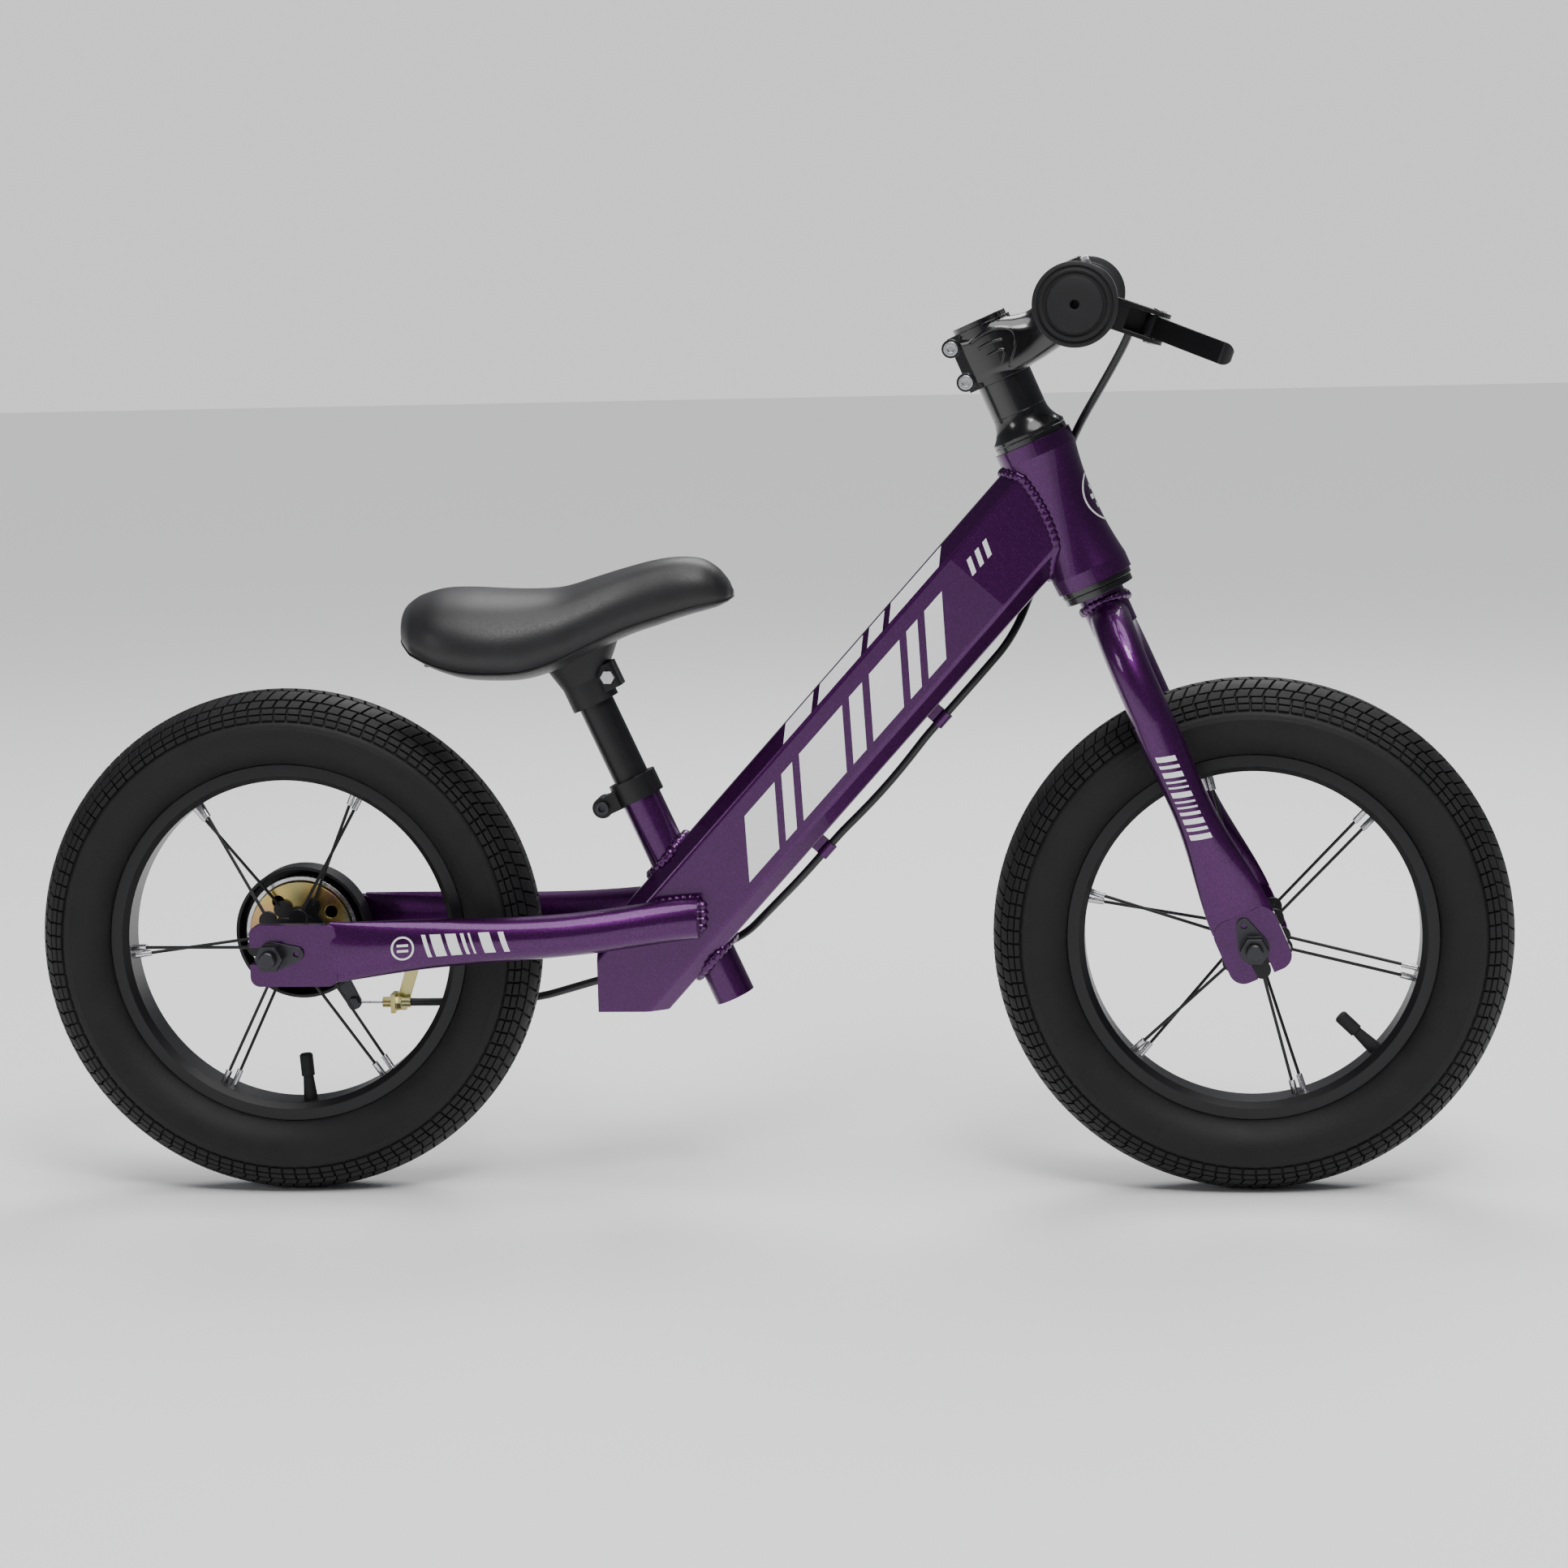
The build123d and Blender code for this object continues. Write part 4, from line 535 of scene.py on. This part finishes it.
# ---- tyres ----------------------------------------------------------------------
def tyre_point(turn, across, lift, wheel_x):
    """Point on the tyre's oval section: across is the angle from the crown."""
    half_width = TYRE_HALF_WIDTH + lift
    half_height = TYRE_HALF_HEIGHT + lift
    radius = TYRE_CENTRE_RADIUS + half_height * cos(across)
    return Vector(
        (
            wheel_x + radius * cos(turn),
            half_width * sin(across),
            AXLE_HEIGHT + radius * sin(turn),
        )
    )


def tyre_base_lift(degrees):
    """How far the carcass lies under the tread's face, by angle from the crown."""
    away = abs(degrees)
    if away < 70:
        return -TREAD_HEIGHT
    if away < 76:
        return -TREAD_HEIGHT * (76 - away) / 6
    if 84 < away < 87 or 127 < away < 129:
        return 0.0004
    return 0.0


def bead_points(turn, wheel_x, profile):
    """Points of the tyre's bead, from (left, radius) pairs."""
    return [
        Vector((wheel_x + r * cos(turn), y, AXLE_HEIGHT + r * sin(turn))) for y, r in profile
    ]


def make_tyre(side):
    """Tyre with a block tread, two rows of small shoulder blocks and ring lines."""
    wheel_x = AXLE_X[side]
    edge = 143
    spacing = 3.25
    steps = 224
    angles = [-edge + spacing * k for k in range(89)]
    bead = [(0.0124, 0.1124), (0.0124, 0.1048), (0.0097, 0.1048), (0.0097, 0.1125)]
    other_bead = [(-y, r) for y, r in reversed(bead)]
    rings = []
    for k in range(steps):
        turn = 2 * pi * k / steps
        ring = [tyre_point(turn, radians(a), tyre_base_lift(a), wheel_x) for a in angles]
        ring.extend(bead_points(turn, wheel_x, bead))
        inside = [tyre_point(turn, radians(a), -TYRE_WALL, wheel_x) for a in range(138, -139, -12)]
        ring.extend(inside)
        ring.extend(bead_points(turn, wheel_x, other_bead))
        rings.append(ring)
    vertices, faces = closed_rings(rings, loop_ends=True)
    # Rows of blocks: middle and half width in degrees, phase and slant in pitches.
    rows = [
        (0, 11.5, 0.00, 0.10),
        (25, 11.0, 0.55, 0.22),
        (-25, 11.0, 0.55, -0.22),
        (44.5, 6.0, 0.10, 0.12),
        (-44.5, 6.0, 0.10, -0.12),
        (56.5, 4.2, 0.10, 0.0),
        (-56.5, 4.2, 0.10, 0.0),
        (66.5, 4.0, 0.10, 0.0),
        (-66.5, 4.0, 0.10, 0.0),
    ]
    pitch = 2 * pi / TREAD_PITCHES
    gap = 0.075 * pitch
    for middle, half, phase, slant in rows:
        for k in range(TREAD_PITCHES):
            start = (k + phase) * pitch
            block = []
            for lift, inset in ((-0.0026, 0.0), (-0.0003, 0.0), (0.0, 0.35)):
                for share in (-1, -0.5, 0, 0.5, 1):
                    across = radians(middle + share * (half - inset))
                    lean = slant * share * pitch
                    if middle == 0:
                        lean = slant * (1 - 2 * abs(share)) * pitch
                    near = start + gap + lean + radians(inset * 0.12)
                    far = start + pitch - gap + lean - radians(inset * 0.12)
                    block.append(tyre_point(near, across, lift, wheel_x))
                    block.append(tyre_point(far, across, lift, wheel_x))
            block_faces = []
            for level in (0, 10):
                for i in range(4):
                    a = level + 2 * i
                    block_faces.append((a, a + 2, a + 12, a + 10))
                    block_faces.append((a + 1, a + 11, a + 13, a + 3))
                block_faces.append((level, level + 10, level + 11, level + 1))
                block_faces.append((level + 8, level + 9, level + 19, level + 18))
            for i in range(4):
                a = 20 + 2 * i
                block_faces.append((a, a + 2, a + 3, a + 1))
                a = 2 * i
                block_faces.append((a, a + 1, a + 3, a + 2))
            join_lists(vertices, faces, block, block_faces)
    tyre = new_piece(f"{side}_block_tyre", vertices, faces, "tyre", 34)
    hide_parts(f"{side}_tyre")
    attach(tyre, f"{side}_wheel")


# ---- saddle ---------------------------------------------------------------------
def smooth_between(stations, x):
    """One row of values at x, interpolated smoothly between stations."""
    k = 0
    while k < len(stations) - 2 and x > stations[k + 1][0]:
        k += 1
    last = len(stations) - 1
    rows = [stations[j] for j in (max(k - 1, 0), k, k + 1, min(k + 2, last))]
    t = (x - rows[1][0]) / (rows[2][0] - rows[1][0])
    found = []
    for c in range(1, len(rows[0])):
        p0, p1, p2, p3 = (row[c] for row in rows)
        found.append(
            0.5
            * (
                2 * p1
                + (p2 - p0) * t
                + (2 * p0 - 5 * p1 + 4 * p2 - p3) * t * t
                + (3 * p1 - p0 - 3 * p2 + p3) * t * t * t
            )
        )
    return found


def make_saddle():
    """Crowned saddle with a rolled lower edge and a fine seam line."""
    # Stations from back to front: x, half width, lower edge and top.
    stations = (
        (-0.2195, 0.012, 0.3500, 0.3600),
        (-0.2165, 0.032, 0.3430, 0.3675),
        (-0.2090, 0.047, 0.3350, 0.3730),
        (-0.1950, 0.057, 0.3280, 0.3768),
        (-0.1780, 0.061, 0.3228, 0.3772),
        (-0.1600, 0.060, 0.3212, 0.3762),
        (-0.1400, 0.055, 0.3218, 0.3756),
        (-0.1200, 0.046, 0.3280, 0.3768),
        (-0.1000, 0.037, 0.3375, 0.3826),
        (-0.0800, 0.0295, 0.3465, 0.3884),
        (-0.0600, 0.0255, 0.3530, 0.3930),
        (-0.0450, 0.0235, 0.3578, 0.3942),
        (-0.0330, 0.0210, 0.3610, 0.3925),
        (-0.0240, 0.0170, 0.3635, 0.3868),
        (-0.0180, 0.0110, 0.3665, 0.3795),
        (-0.0152, 0.0040, 0.3690, 0.3735),
    )
    around = 40
    count = 56
    rings = []
    first, last = stations[0][0], stations[-1][0]
    for k in range(count):
        share = 0.5 - 0.5 * cos(pi * k / (count - 1))
        x = first + (last - first) * share
        half, low, high = smooth_between(stations, x)
        widest = low + (high - low) * 0.36
        ring = []
        for i in range(around):
            turn = 2 * pi * i / around
            c, s = cos(turn), sin(turn)
            power = 2 / 2.3 if s > 0 else 2 / 2.9
            y = half * (abs(c) ** power) * (1 if c >= 0 else -1)
            rise = (high - widest) if s > 0 else (widest - low)
            z = widest + rise * (abs(s) ** (2 / 2.15)) * (1 if s >= 0 else -1)
            ring.append(Vector((x, y, z)))
        rings.append(ring)
    vertices, faces = closed_rings(rings)
    pad = new_piece("saddle_cover", vertices, faces, "skin")
    smoother = pad.modifiers.new("smooth", "SUBSURF")
    smoother.levels = 1
    smoother.render_levels = 1
    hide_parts("saddle_pad")
    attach(pad, "seat")
    piping = []
    ups = []
    for side in (1, -1):
        span = range(2, count - 2) if side == 1 else range(count - 3, 1, -1)
        for k in span:
            index = 4 if side == -1 else around // 2 - 4
            point = rings[k][(around - index) % around]
            middle = Vector((point.x, 0, rings[k][around // 4].z))
            piping.append(point + (point - middle).normalized() * 0.0002)
            ups.append((point - middle).normalized())
    piping.append(piping[0].copy())
    ups.append(ups[0])
    vertices, faces = tube_along(piping, 0.0007, 8, up=ups)
    seam = new_piece("saddle_seam", vertices, faces, "plastic")
    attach(seam, "seat")


# ---- grips ----------------------------------------------------------------------
def make_grip(side_name, side):
    """Grip with ribs along its body and a stepped bumper with fine rings."""
    # The profile holds (distance from the middle of the bar, radius) pairs.
    low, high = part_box("handlebar")
    centre = Vector(((low.x + high.x) / 2, 0, (low.z + high.z) / 2))
    profile = [
        (0.0982, 0.0112), (0.0980, 0.0190), (0.0986, 0.0206), (0.0996, 0.0210), (0.1008, 0.0206),
        (0.1018, 0.0186), (0.1034, 0.0162), (0.1062, 0.0151),
    ]
    along = 0.108
    rib_radius, groove_radius = 0.0150, 0.0143
    while along < 0.1885:
        profile.extend(
            [
                (along, rib_radius), (along + 0.0004, groove_radius),
                (along + 0.0014, groove_radius), (along + 0.0018, rib_radius),
            ]
        )
        along += 0.0058
    profile.extend(
        [
            (0.1910, 0.0152), (0.1932, 0.0172), (0.1948, 0.0212), (0.1957, 0.0232),
            (0.1966, 0.0237), (0.1992, 0.0237), (0.2002, 0.0234), (0.2008, 0.0226),
            (0.2011, 0.0214), (0.2006, 0.0205), (0.2008, 0.0199), (0.2020, 0.0197),
            (0.2036, 0.0195), (0.2041, 0.0188), (0.2038, 0.0178), (0.2031, 0.0168),
            (0.2034, 0.0160), (0.2048, 0.0157), (0.2060, 0.0151), (0.2066, 0.0130),
            (0.2069, 0.0090), (0.2070, 0.0045), (0.2068, 0.0028), (0.2060, 0.0024),
            (0.2012, 0.0024), (0.2012, 0.0112),
        ]
    )
    vertices, faces = revolved(profile, centre, LEFT * side, Vector((0, 0, 1)), 72)
    grip = new_piece(f"{side_name}_bumper_grip", vertices, faces, "rubber", 40)
    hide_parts(f"grip_{side_name}")
    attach(grip, "steering")


# ---- cables ---------------------------------------------------------------------
def make_cable_loop():
    """Cable from the lever's adjuster, round the head tube, to the first guide."""
    joins = on_tube(0.144, -0.0392)
    low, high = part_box("cable_adjuster")
    leaves = Vector(((low.x + high.x) / 2, high.y, (low.z + high.z) / 2))
    route = [
        leaves - Vector((0, 0.002, 0)),
        leaves + Vector((0, 0.006, 0)),
        leaves + Vector((-0.001, 0.014, -0.002)),
        leaves + Vector((-0.010, 0.031, -0.022)),
        on_fork(0.317, 0.016, 0.017),
        on_fork(0.297, 0.008, 0.034),
        on_fork(0.274, -0.012, 0.0345),
        on_fork(0.251, -0.033, 0.034),
        joins + TUBE_UP * 0.060 + Vector((0.001, 0.010, 0.001)),
        joins + TUBE_UP * 0.030,
        joins + TUBE_UP * 0.012,
        joins - TUBE_UP * 0.001,
    ]
    vertices, faces = tube_along(nurbs_points(route), CABLE_RADIUS, 16)
    loop = new_piece("free_cable_loop", vertices, faces, "housing", 50)
    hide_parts("cable_loop")
    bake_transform(loop)


def make_brake_wire():
    """Twisted bare wire in the brake wire's place."""
    low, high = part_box("brake_wire")
    middle = (low + high) / 2
    ends = [
        Vector((high.x + 0.001, middle.y, middle.z)),
        Vector((low.x - 0.001, middle.y, middle.z)),
    ]
    points = [ends[0].lerp(ends[1], k / 24) for k in range(25)]
    vertices, faces = [], []
    for strand in range(5):
        line = []
        for k, point in enumerate(points):
            turn = 2 * pi * (strand / 5 + k / 12)
            line.append(point + Vector((0, cos(turn), sin(turn))) * 0.00048)
        join_lists(vertices, faces, *tube_along(line, 0.00034, 6))
    wire = new_piece("bare_brake_wire", vertices, faces, "steel")
    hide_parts("brake_wire")
    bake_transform(wire)


# ---- weld beads -----------------------------------------------------------------
def head_radius(along):
    """Radius of the head tube's waisted outline at a height on the steering axis."""
    if along < HEAD_BOTTOM + HEAD_BAND or along > HEAD_TOP - HEAD_BAND:
        return HEAD_END_RADIUS
    middle = (HEAD_BOTTOM + HEAD_TOP) / 2
    half = (HEAD_TOP - HEAD_BOTTOM) / 2 - HEAD_BAND
    depth = HEAD_END_RADIUS - HEAD_WAIST_RADIUS
    bow = (half * half + depth * depth) / (2 * depth)
    return HEAD_WAIST_RADIUS + bow - sqrt(bow * bow - (along - middle) ** 2)


def tube_half_width(back):
    """Half the main tube's width: it narrows towards the head tube."""
    share = min(max(back / TUBE_NECK_LENGTH, 0), 1)
    return TUBE_NECK_HALF_WIDTH + (TUBE_HALF_WIDTH - TUBE_NECK_HALF_WIDTH) * share


def tube_outline(back, steps):
    """Points round the main tube's eight-sided section with soft corners."""
    width, height, bevel = tube_half_width(back), TUBE_HALF_HEIGHT, TUBE_BEVEL
    corners = [
        (width, -height + bevel), (width, height - bevel), (width - bevel, height),
        (-width + bevel, height), (-width, height - bevel), (-width, -height + bevel),
        (-width + bevel, -height), (width - bevel, -height),
    ]
    lengths = []
    for a, b in zip(corners, corners[1:] + corners[:1]):
        lengths.append(sqrt((b[0] - a[0]) ** 2 + (b[1] - a[1]) ** 2))
    total = sum(lengths)
    found = []
    for k in range(steps):
        reach = total * k / steps
        for (a, b), length in zip(zip(corners, corners[1:] + corners[:1]), lengths):
            if reach <= length:
                share = reach / length
                found.append((a[0] + (b[0] - a[0]) * share, a[1] + (b[1] - a[1]) * share))
                break
            reach -= length
    return found


def bead_along(points, ups, radius=BEAD_RADIUS, pitch=BEAD_PITCH, squash=0.85):
    """Rippled, slightly flattened weld bead along a line."""
    return tube_along(points, radius, 12, BEAD_RIPPLE, pitch, squash, up=ups)


def head_weld():
    """Bead where the main tube meets the head tube."""
    points, ups = [], []
    for y, off in tube_outline(0.012, 150):
        back = -0.01
        while back < 0.06:
            place = on_tube(back, off, y)
            gap = place - on_fork(0)
            along = gap.dot(STEER_UP)
            ahead = gap.dot(STEER_AHEAD)
            if ahead < 0 and sqrt(ahead * ahead + y * y) > head_radius(along) + 0.0004:
                break
            back += 0.0002
        place = on_tube(back, off, y)
        outwards = Vector((0, y, 0)).normalized() * abs(y) / 0.02
        outwards += TUBE_NORMAL * off / TUBE_HALF_HEIGHT
        points.append(place)
        ups.append(outwards.normalized())
    points.append(points[0].copy())
    ups.append(ups[0])
    return bead_along(smooth_loop(points), ups, squash=0.8)


def smooth_loop(points, rounds=3):
    """Evened-out copy of a closed line of points."""
    points = [p.copy() for p in points[:-1]]
    count = len(points)
    for _ in range(rounds):
        points = [
            points[k] * 0.5 + (points[k - 1] + points[(k + 1) % count]) * 0.25 for k in range(count)
        ]
    return points + [points[0].copy()]


def seat_weld(off):
    """Bead where the seat tube passes a flat face of the main tube."""
    points, ups = [], []
    for k in range(81):
        turn = 2 * pi * k / 80
        rim = SEAT_AHEAD * (SEAT_BEAD_RING * cos(turn)) + LEFT * (SEAT_BEAD_RING * sin(turn))
        target = on_tube(0).dot(TUBE_NORMAL) + off
        along = (target - (on_seat(0) + rim).dot(TUBE_NORMAL)) / SEAT_UP.dot(TUBE_NORMAL)
        points.append(on_seat(along) + rim)
        ups.append(rim.normalized())
    return bead_along(points, ups)


def stay_weld(side):
    """Bead round the front end of a chain stay on the main tube's flank."""
    spots = (
        (-0.084, 0.1735), (-0.077, 0.1775), (-0.068, 0.1815), (-0.058, 0.1838), (-0.048, 0.1850),
        (-0.0400, 0.1852), (-0.0372, 0.1825), (-0.0368, 0.1755), (-0.0372, 0.1690),
        (-0.0400, 0.1662), (-0.048, 0.1660), (-0.058, 0.1650), (-0.068, 0.1640), (-0.077, 0.1650),
        (-0.084, 0.1675),
    )
    route = [Vector((x, side * 0.0238, z)) for x, z in spots]
    points = nurbs_points(route, 10)
    ups = [LEFT * side for _ in points]
    return bead_along(points, ups, radius=0.0032)


def crown_weld():
    """Bead round the steerer where the two fork legs join it."""
    points, ups = [], []
    for k in range(81):
        turn = 2 * pi * k / 80
        rim = STEER_AHEAD * cos(turn) + LEFT * sin(turn)
        lift = 0.2245 - 0.0035 * (1 - abs(sin(turn)))
        points.append(on_fork(lift) + rim * 0.0146)
        ups.append(rim)
    return bead_along(points, ups, radius=0.0024, pitch=0.0036)


def make_welds():
    """All the weld beads, on the frame and on the fork."""
    vertices, faces = head_weld()
    join_lists(vertices, faces, *seat_weld(TUBE_HALF_HEIGHT))
    join_lists(vertices, faces, *seat_weld(-TUBE_HALF_HEIGHT))
    for side in (1, -1):
        join_lists(vertices, faces, *stay_weld(side))
    beads = new_piece("frame_weld_beads", vertices, faces, "paint")
    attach(beads, "frame")
    vertices, faces = crown_weld()
    beads = new_piece("fork_weld_bead", vertices, faces, "paint")
    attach(beads, "steering")


# ---- forged ridges on the stem --------------------------------------------------
def stem_side(ahead, rise):
    """Distance of the stem's side from the middle, at a place seen from the side."""
    half, tall, corner = smooth_between(
        (
            (-0.015, 0.0140, 0.0165, 0.006), (-0.004, 0.0185, 0.0173, 0.008),
            (0.012, 0.0185, 0.0171, 0.009), (0.027, 0.0155, 0.0148, 0.012),
            (0.039, 0.0160, 0.0155, 0.013),
        ),
        ahead,
    )
    past = max(0.0, abs(rise) - (tall - corner))
    return half - corner + sqrt(max(corner * corner - past * past, 0))


def make_stem_ridges():
    """Raised ridges of the forging, a curved one round two short ones, on both sides."""
    middle = (STEM_BOTTOM + STEM_TOP) / 2
    routes = (
        (
            (-0.0095, 0.0095), (-0.001, 0.0125), (0.010, 0.0115), (0.0175, 0.0070),
            (0.0160, -0.001), (0.0105, -0.0075), (0.0065, -0.0125),
        ),
        ((-0.0060, 0.0045), (0.001, 0.0065), (0.0095, 0.0040)),
        (
            (-0.0030, -0.0015), (0.003, -0.0005), (0.0085, -0.0015), (0.0055, -0.0060),
            (0.0025, -0.0095),
        ),
    )
    vertices, faces = [], []
    for side in (1, -1):
        for route in routes:
            flat = nurbs_points([Vector((a, 0, r)) for a, r in route], 8)
            line = [
                on_fork(middle + p.z, p.x, side * (stem_side(p.x, p.z) + 0.0001)) for p in flat
            ]
            ups = [LEFT * side for _ in line]
            join_lists(vertices, faces, *tube_along(line, 0.0010, 10, up=ups))
    ridges = new_piece("stem_ridges", vertices, faces, "gloss")
    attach(ridges, "steering")


# ---- decals ---------------------------------------------------------------------
def film(outline, place, steps=6):
    """Thin patch over a four-cornered outline, laid on a surface by a function."""
    a, b, c, d = outline
    vertices, faces = [], []
    for i in range(steps + 1):
        for j in range(steps + 1):
            u, v = i / steps, j / steps
            s = (a[0] * (1 - u) + b[0] * u) * (1 - v) + (d[0] * (1 - u) + c[0] * u) * v
            t = (a[1] * (1 - u) + b[1] * u) * (1 - v) + (d[1] * (1 - u) + c[1] * u) * v
            vertices.append(place(s, t))
    for i in range(steps):
        for j in range(steps):
            k = i * (steps + 1) + j
            faces.append((k, k + 1, k + steps + 2, k + steps + 1))
    return vertices, faces


def add_decal(name, outlines, place, body):
    """One piece of white film made of several patches."""
    vertices, faces = [], []
    for outline in outlines:
        join_lists(vertices, faces, *film(outline, place))
    decal = new_piece(name, vertices, faces, "white")
    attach(decal, body)


def slanted(back_from, back_to, low, high, slope=0.55):
    """Parallelogram on the main tube: back is measured from the head tube."""
    lean = (high - low) * slope
    return (
        (back_from, low), (back_to, low), (back_to - lean, high), (back_from - lean, high),
    )


def make_decals():
    """Plain stripes, bars and rings on tube, fork, stays and head tube."""
    for side_name, side in (("right", -1), ("left", 1)):

        def flank(back, off, side=side):
            return on_tube(back, off, side * (tube_half_width(back) + TUBE_FILM_LIFT))

        stripes = []
        back = 0.300
        for width in (0.028, 0.010, 0.040, 0.012, 0.028, 0.010, 0.016):
            stripes.append(slanted(back, back - width, -0.0165, 0.0125, 1.0))
            back -= width + 0.0065
        for back in (0.069, 0.062, 0.055):
            stripes.append(slanted(back, back - 0.0035, 0.0045, 0.0135))
        add_decal(f"tube_stripes_{side_name}", stripes, flank, "frame")

        def upper(back, share, side=side):
            width = tube_half_width(back)
            y = width - TUBE_BEVEL * share
            lift = TUBE_FILM_LIFT * sqrt(0.5)
            off = TUBE_HALF_HEIGHT - TUBE_BEVEL + TUBE_BEVEL * share + lift
            return on_tube(back, off, side * (y + lift))

        bars = [
            slanted(0.222, 0.196, 0.1, 0.9, 0.012),
            slanted(0.190, 0.150, 0.1, 0.9, 0.012),
            slanted(0.144, 0.130, 0.1, 0.9, 0.012),
            slanted(0.124, 0.078, 0.1, 0.9, 0.012),
        ]
        add_decal(f"upper_stripes_{side_name}", bars, upper, "frame")

        def leg(along, turn, side=side):
            rows = (
                (0.034, 0.0185, 0.0052), (0.056, 0.0156, 0.0088), (0.080, 0.0129, 0.0116),
                (0.112, 0.0122, 0.0122), (0.150, 0.0122, 0.0122),
            )
            half_ahead, half_across = smooth_between(rows, along)
            return on_fork(
                along,
                (half_ahead + FILM_LIFT) * sin(turn),
                side * (FORK_LEG_OFFSET + (half_across + FILM_LIFT) * cos(turn)),
            )

        ticks = []
        along = 0.130
        for width in (1.0, 0.6, 1.0, 0.35, 0.35, 1.0, 0.35, 0.35, 0.6, 1.0, 0.6, 1.0):
            thick = 0.0034 * width
            ticks.append(
                (
                    (along, -0.62), (along - thick, -0.62),
                    (along - thick - 0.003, 0.35), (along - 0.003, 0.35),
                )
            )
            along -= thick + 0.0024
        add_decal(f"fork_ticks_{side_name}", ticks, leg, "steering")

        def stay(x, turn, side=side):
            rows = (
                (-0.262, 0.054, 0.1595, 0.0042, 0.0190), (-0.222, 0.0518, 0.1625, 0.0084, 0.0164),
                (-0.175, 0.0480, 0.1650, 0.0114, 0.0142), (-0.125, 0.0435, 0.1670, 0.0126, 0.0132),
                (-0.085, 0.0365, 0.1705, 0.0128, 0.0132),
            )
            y, z, across, up = smooth_between(rows, x)
            return Vector(
                (
                    x,
                    side * (y + (across + FILM_LIFT) * cos(turn)),
                    z + (up + FILM_LIFT) * sin(turn),
                )
            )

        marks = []
        x = -0.205
        for width in (0.6, 1.6, 1.6, 0.5, 0.3, 0.0, 1.6, 0.0, 0.8):
            thick = 0.0042 * width
            if thick:
                marks.append(
                    ((x, 0.50), (x + thick, 0.50), (x + thick + 0.004, -0.42), (x + 0.004, -0.42))
                )
            x += thick + 0.0026
        ring = []
        stay_half_height = 0.0155
        for k in range(24):
            a, b = 2 * pi * k / 24, 2 * pi * (k + 1) / 24
            ring.append(
                tuple(
                    (-0.2165 + r * cos(t), r * sin(t) / stay_half_height)
                    for r, t in ((0.0072, a), (0.0072, b), (0.0060, b), (0.0060, a))
                )
            )
        for level in (-0.0022, 0.0010):
            low, high = level / stay_half_height, (level + 0.0014) / stay_half_height
            ring.append(((-0.2200, low), (-0.2130, low), (-0.2130, high), (-0.2200, high)))
        add_decal(f"stay_marks_{side_name}", marks + ring, stay, "frame")

    badge_height = 0.284

    def badge(up, across):
        radius = head_radius(badge_height + up) + FILM_LIFT
        turn = across / radius
        return on_fork(badge_height + up, radius * cos(turn), radius * sin(turn))

    rings = []
    inner, outer = 0.0148, 0.0162
    for k in range(40):
        a, b = 2 * pi * k / 40, 2 * pi * (k + 1) / 40
        corners = ((outer, a), (outer, b), (inner, b), (inner, a))
        rings.append(tuple((r * sin(t), r * cos(t)) for r, t in corners))
    for level, half in ((-0.007, 0.006), (-0.001, 0.009), (0.005, 0.006)):
        rings.append(((level, -half), (level, half), (level + 0.003, half), (level + 0.003, -half)))
    add_decal("head_badge", rings, badge, "frame")


# ---- making it all --------------------------------------------------------------
add_camera()
add_studio()
materials = make_materials()
paint_nodes()
make_cable_loop()
make_brake_wire()
for wheel_side in ("front", "rear"):
    make_tyre(wheel_side)
make_saddle()
make_grip("left", 1)
make_grip("right", -1)
make_welds()
make_stem_ridges()
make_decals()
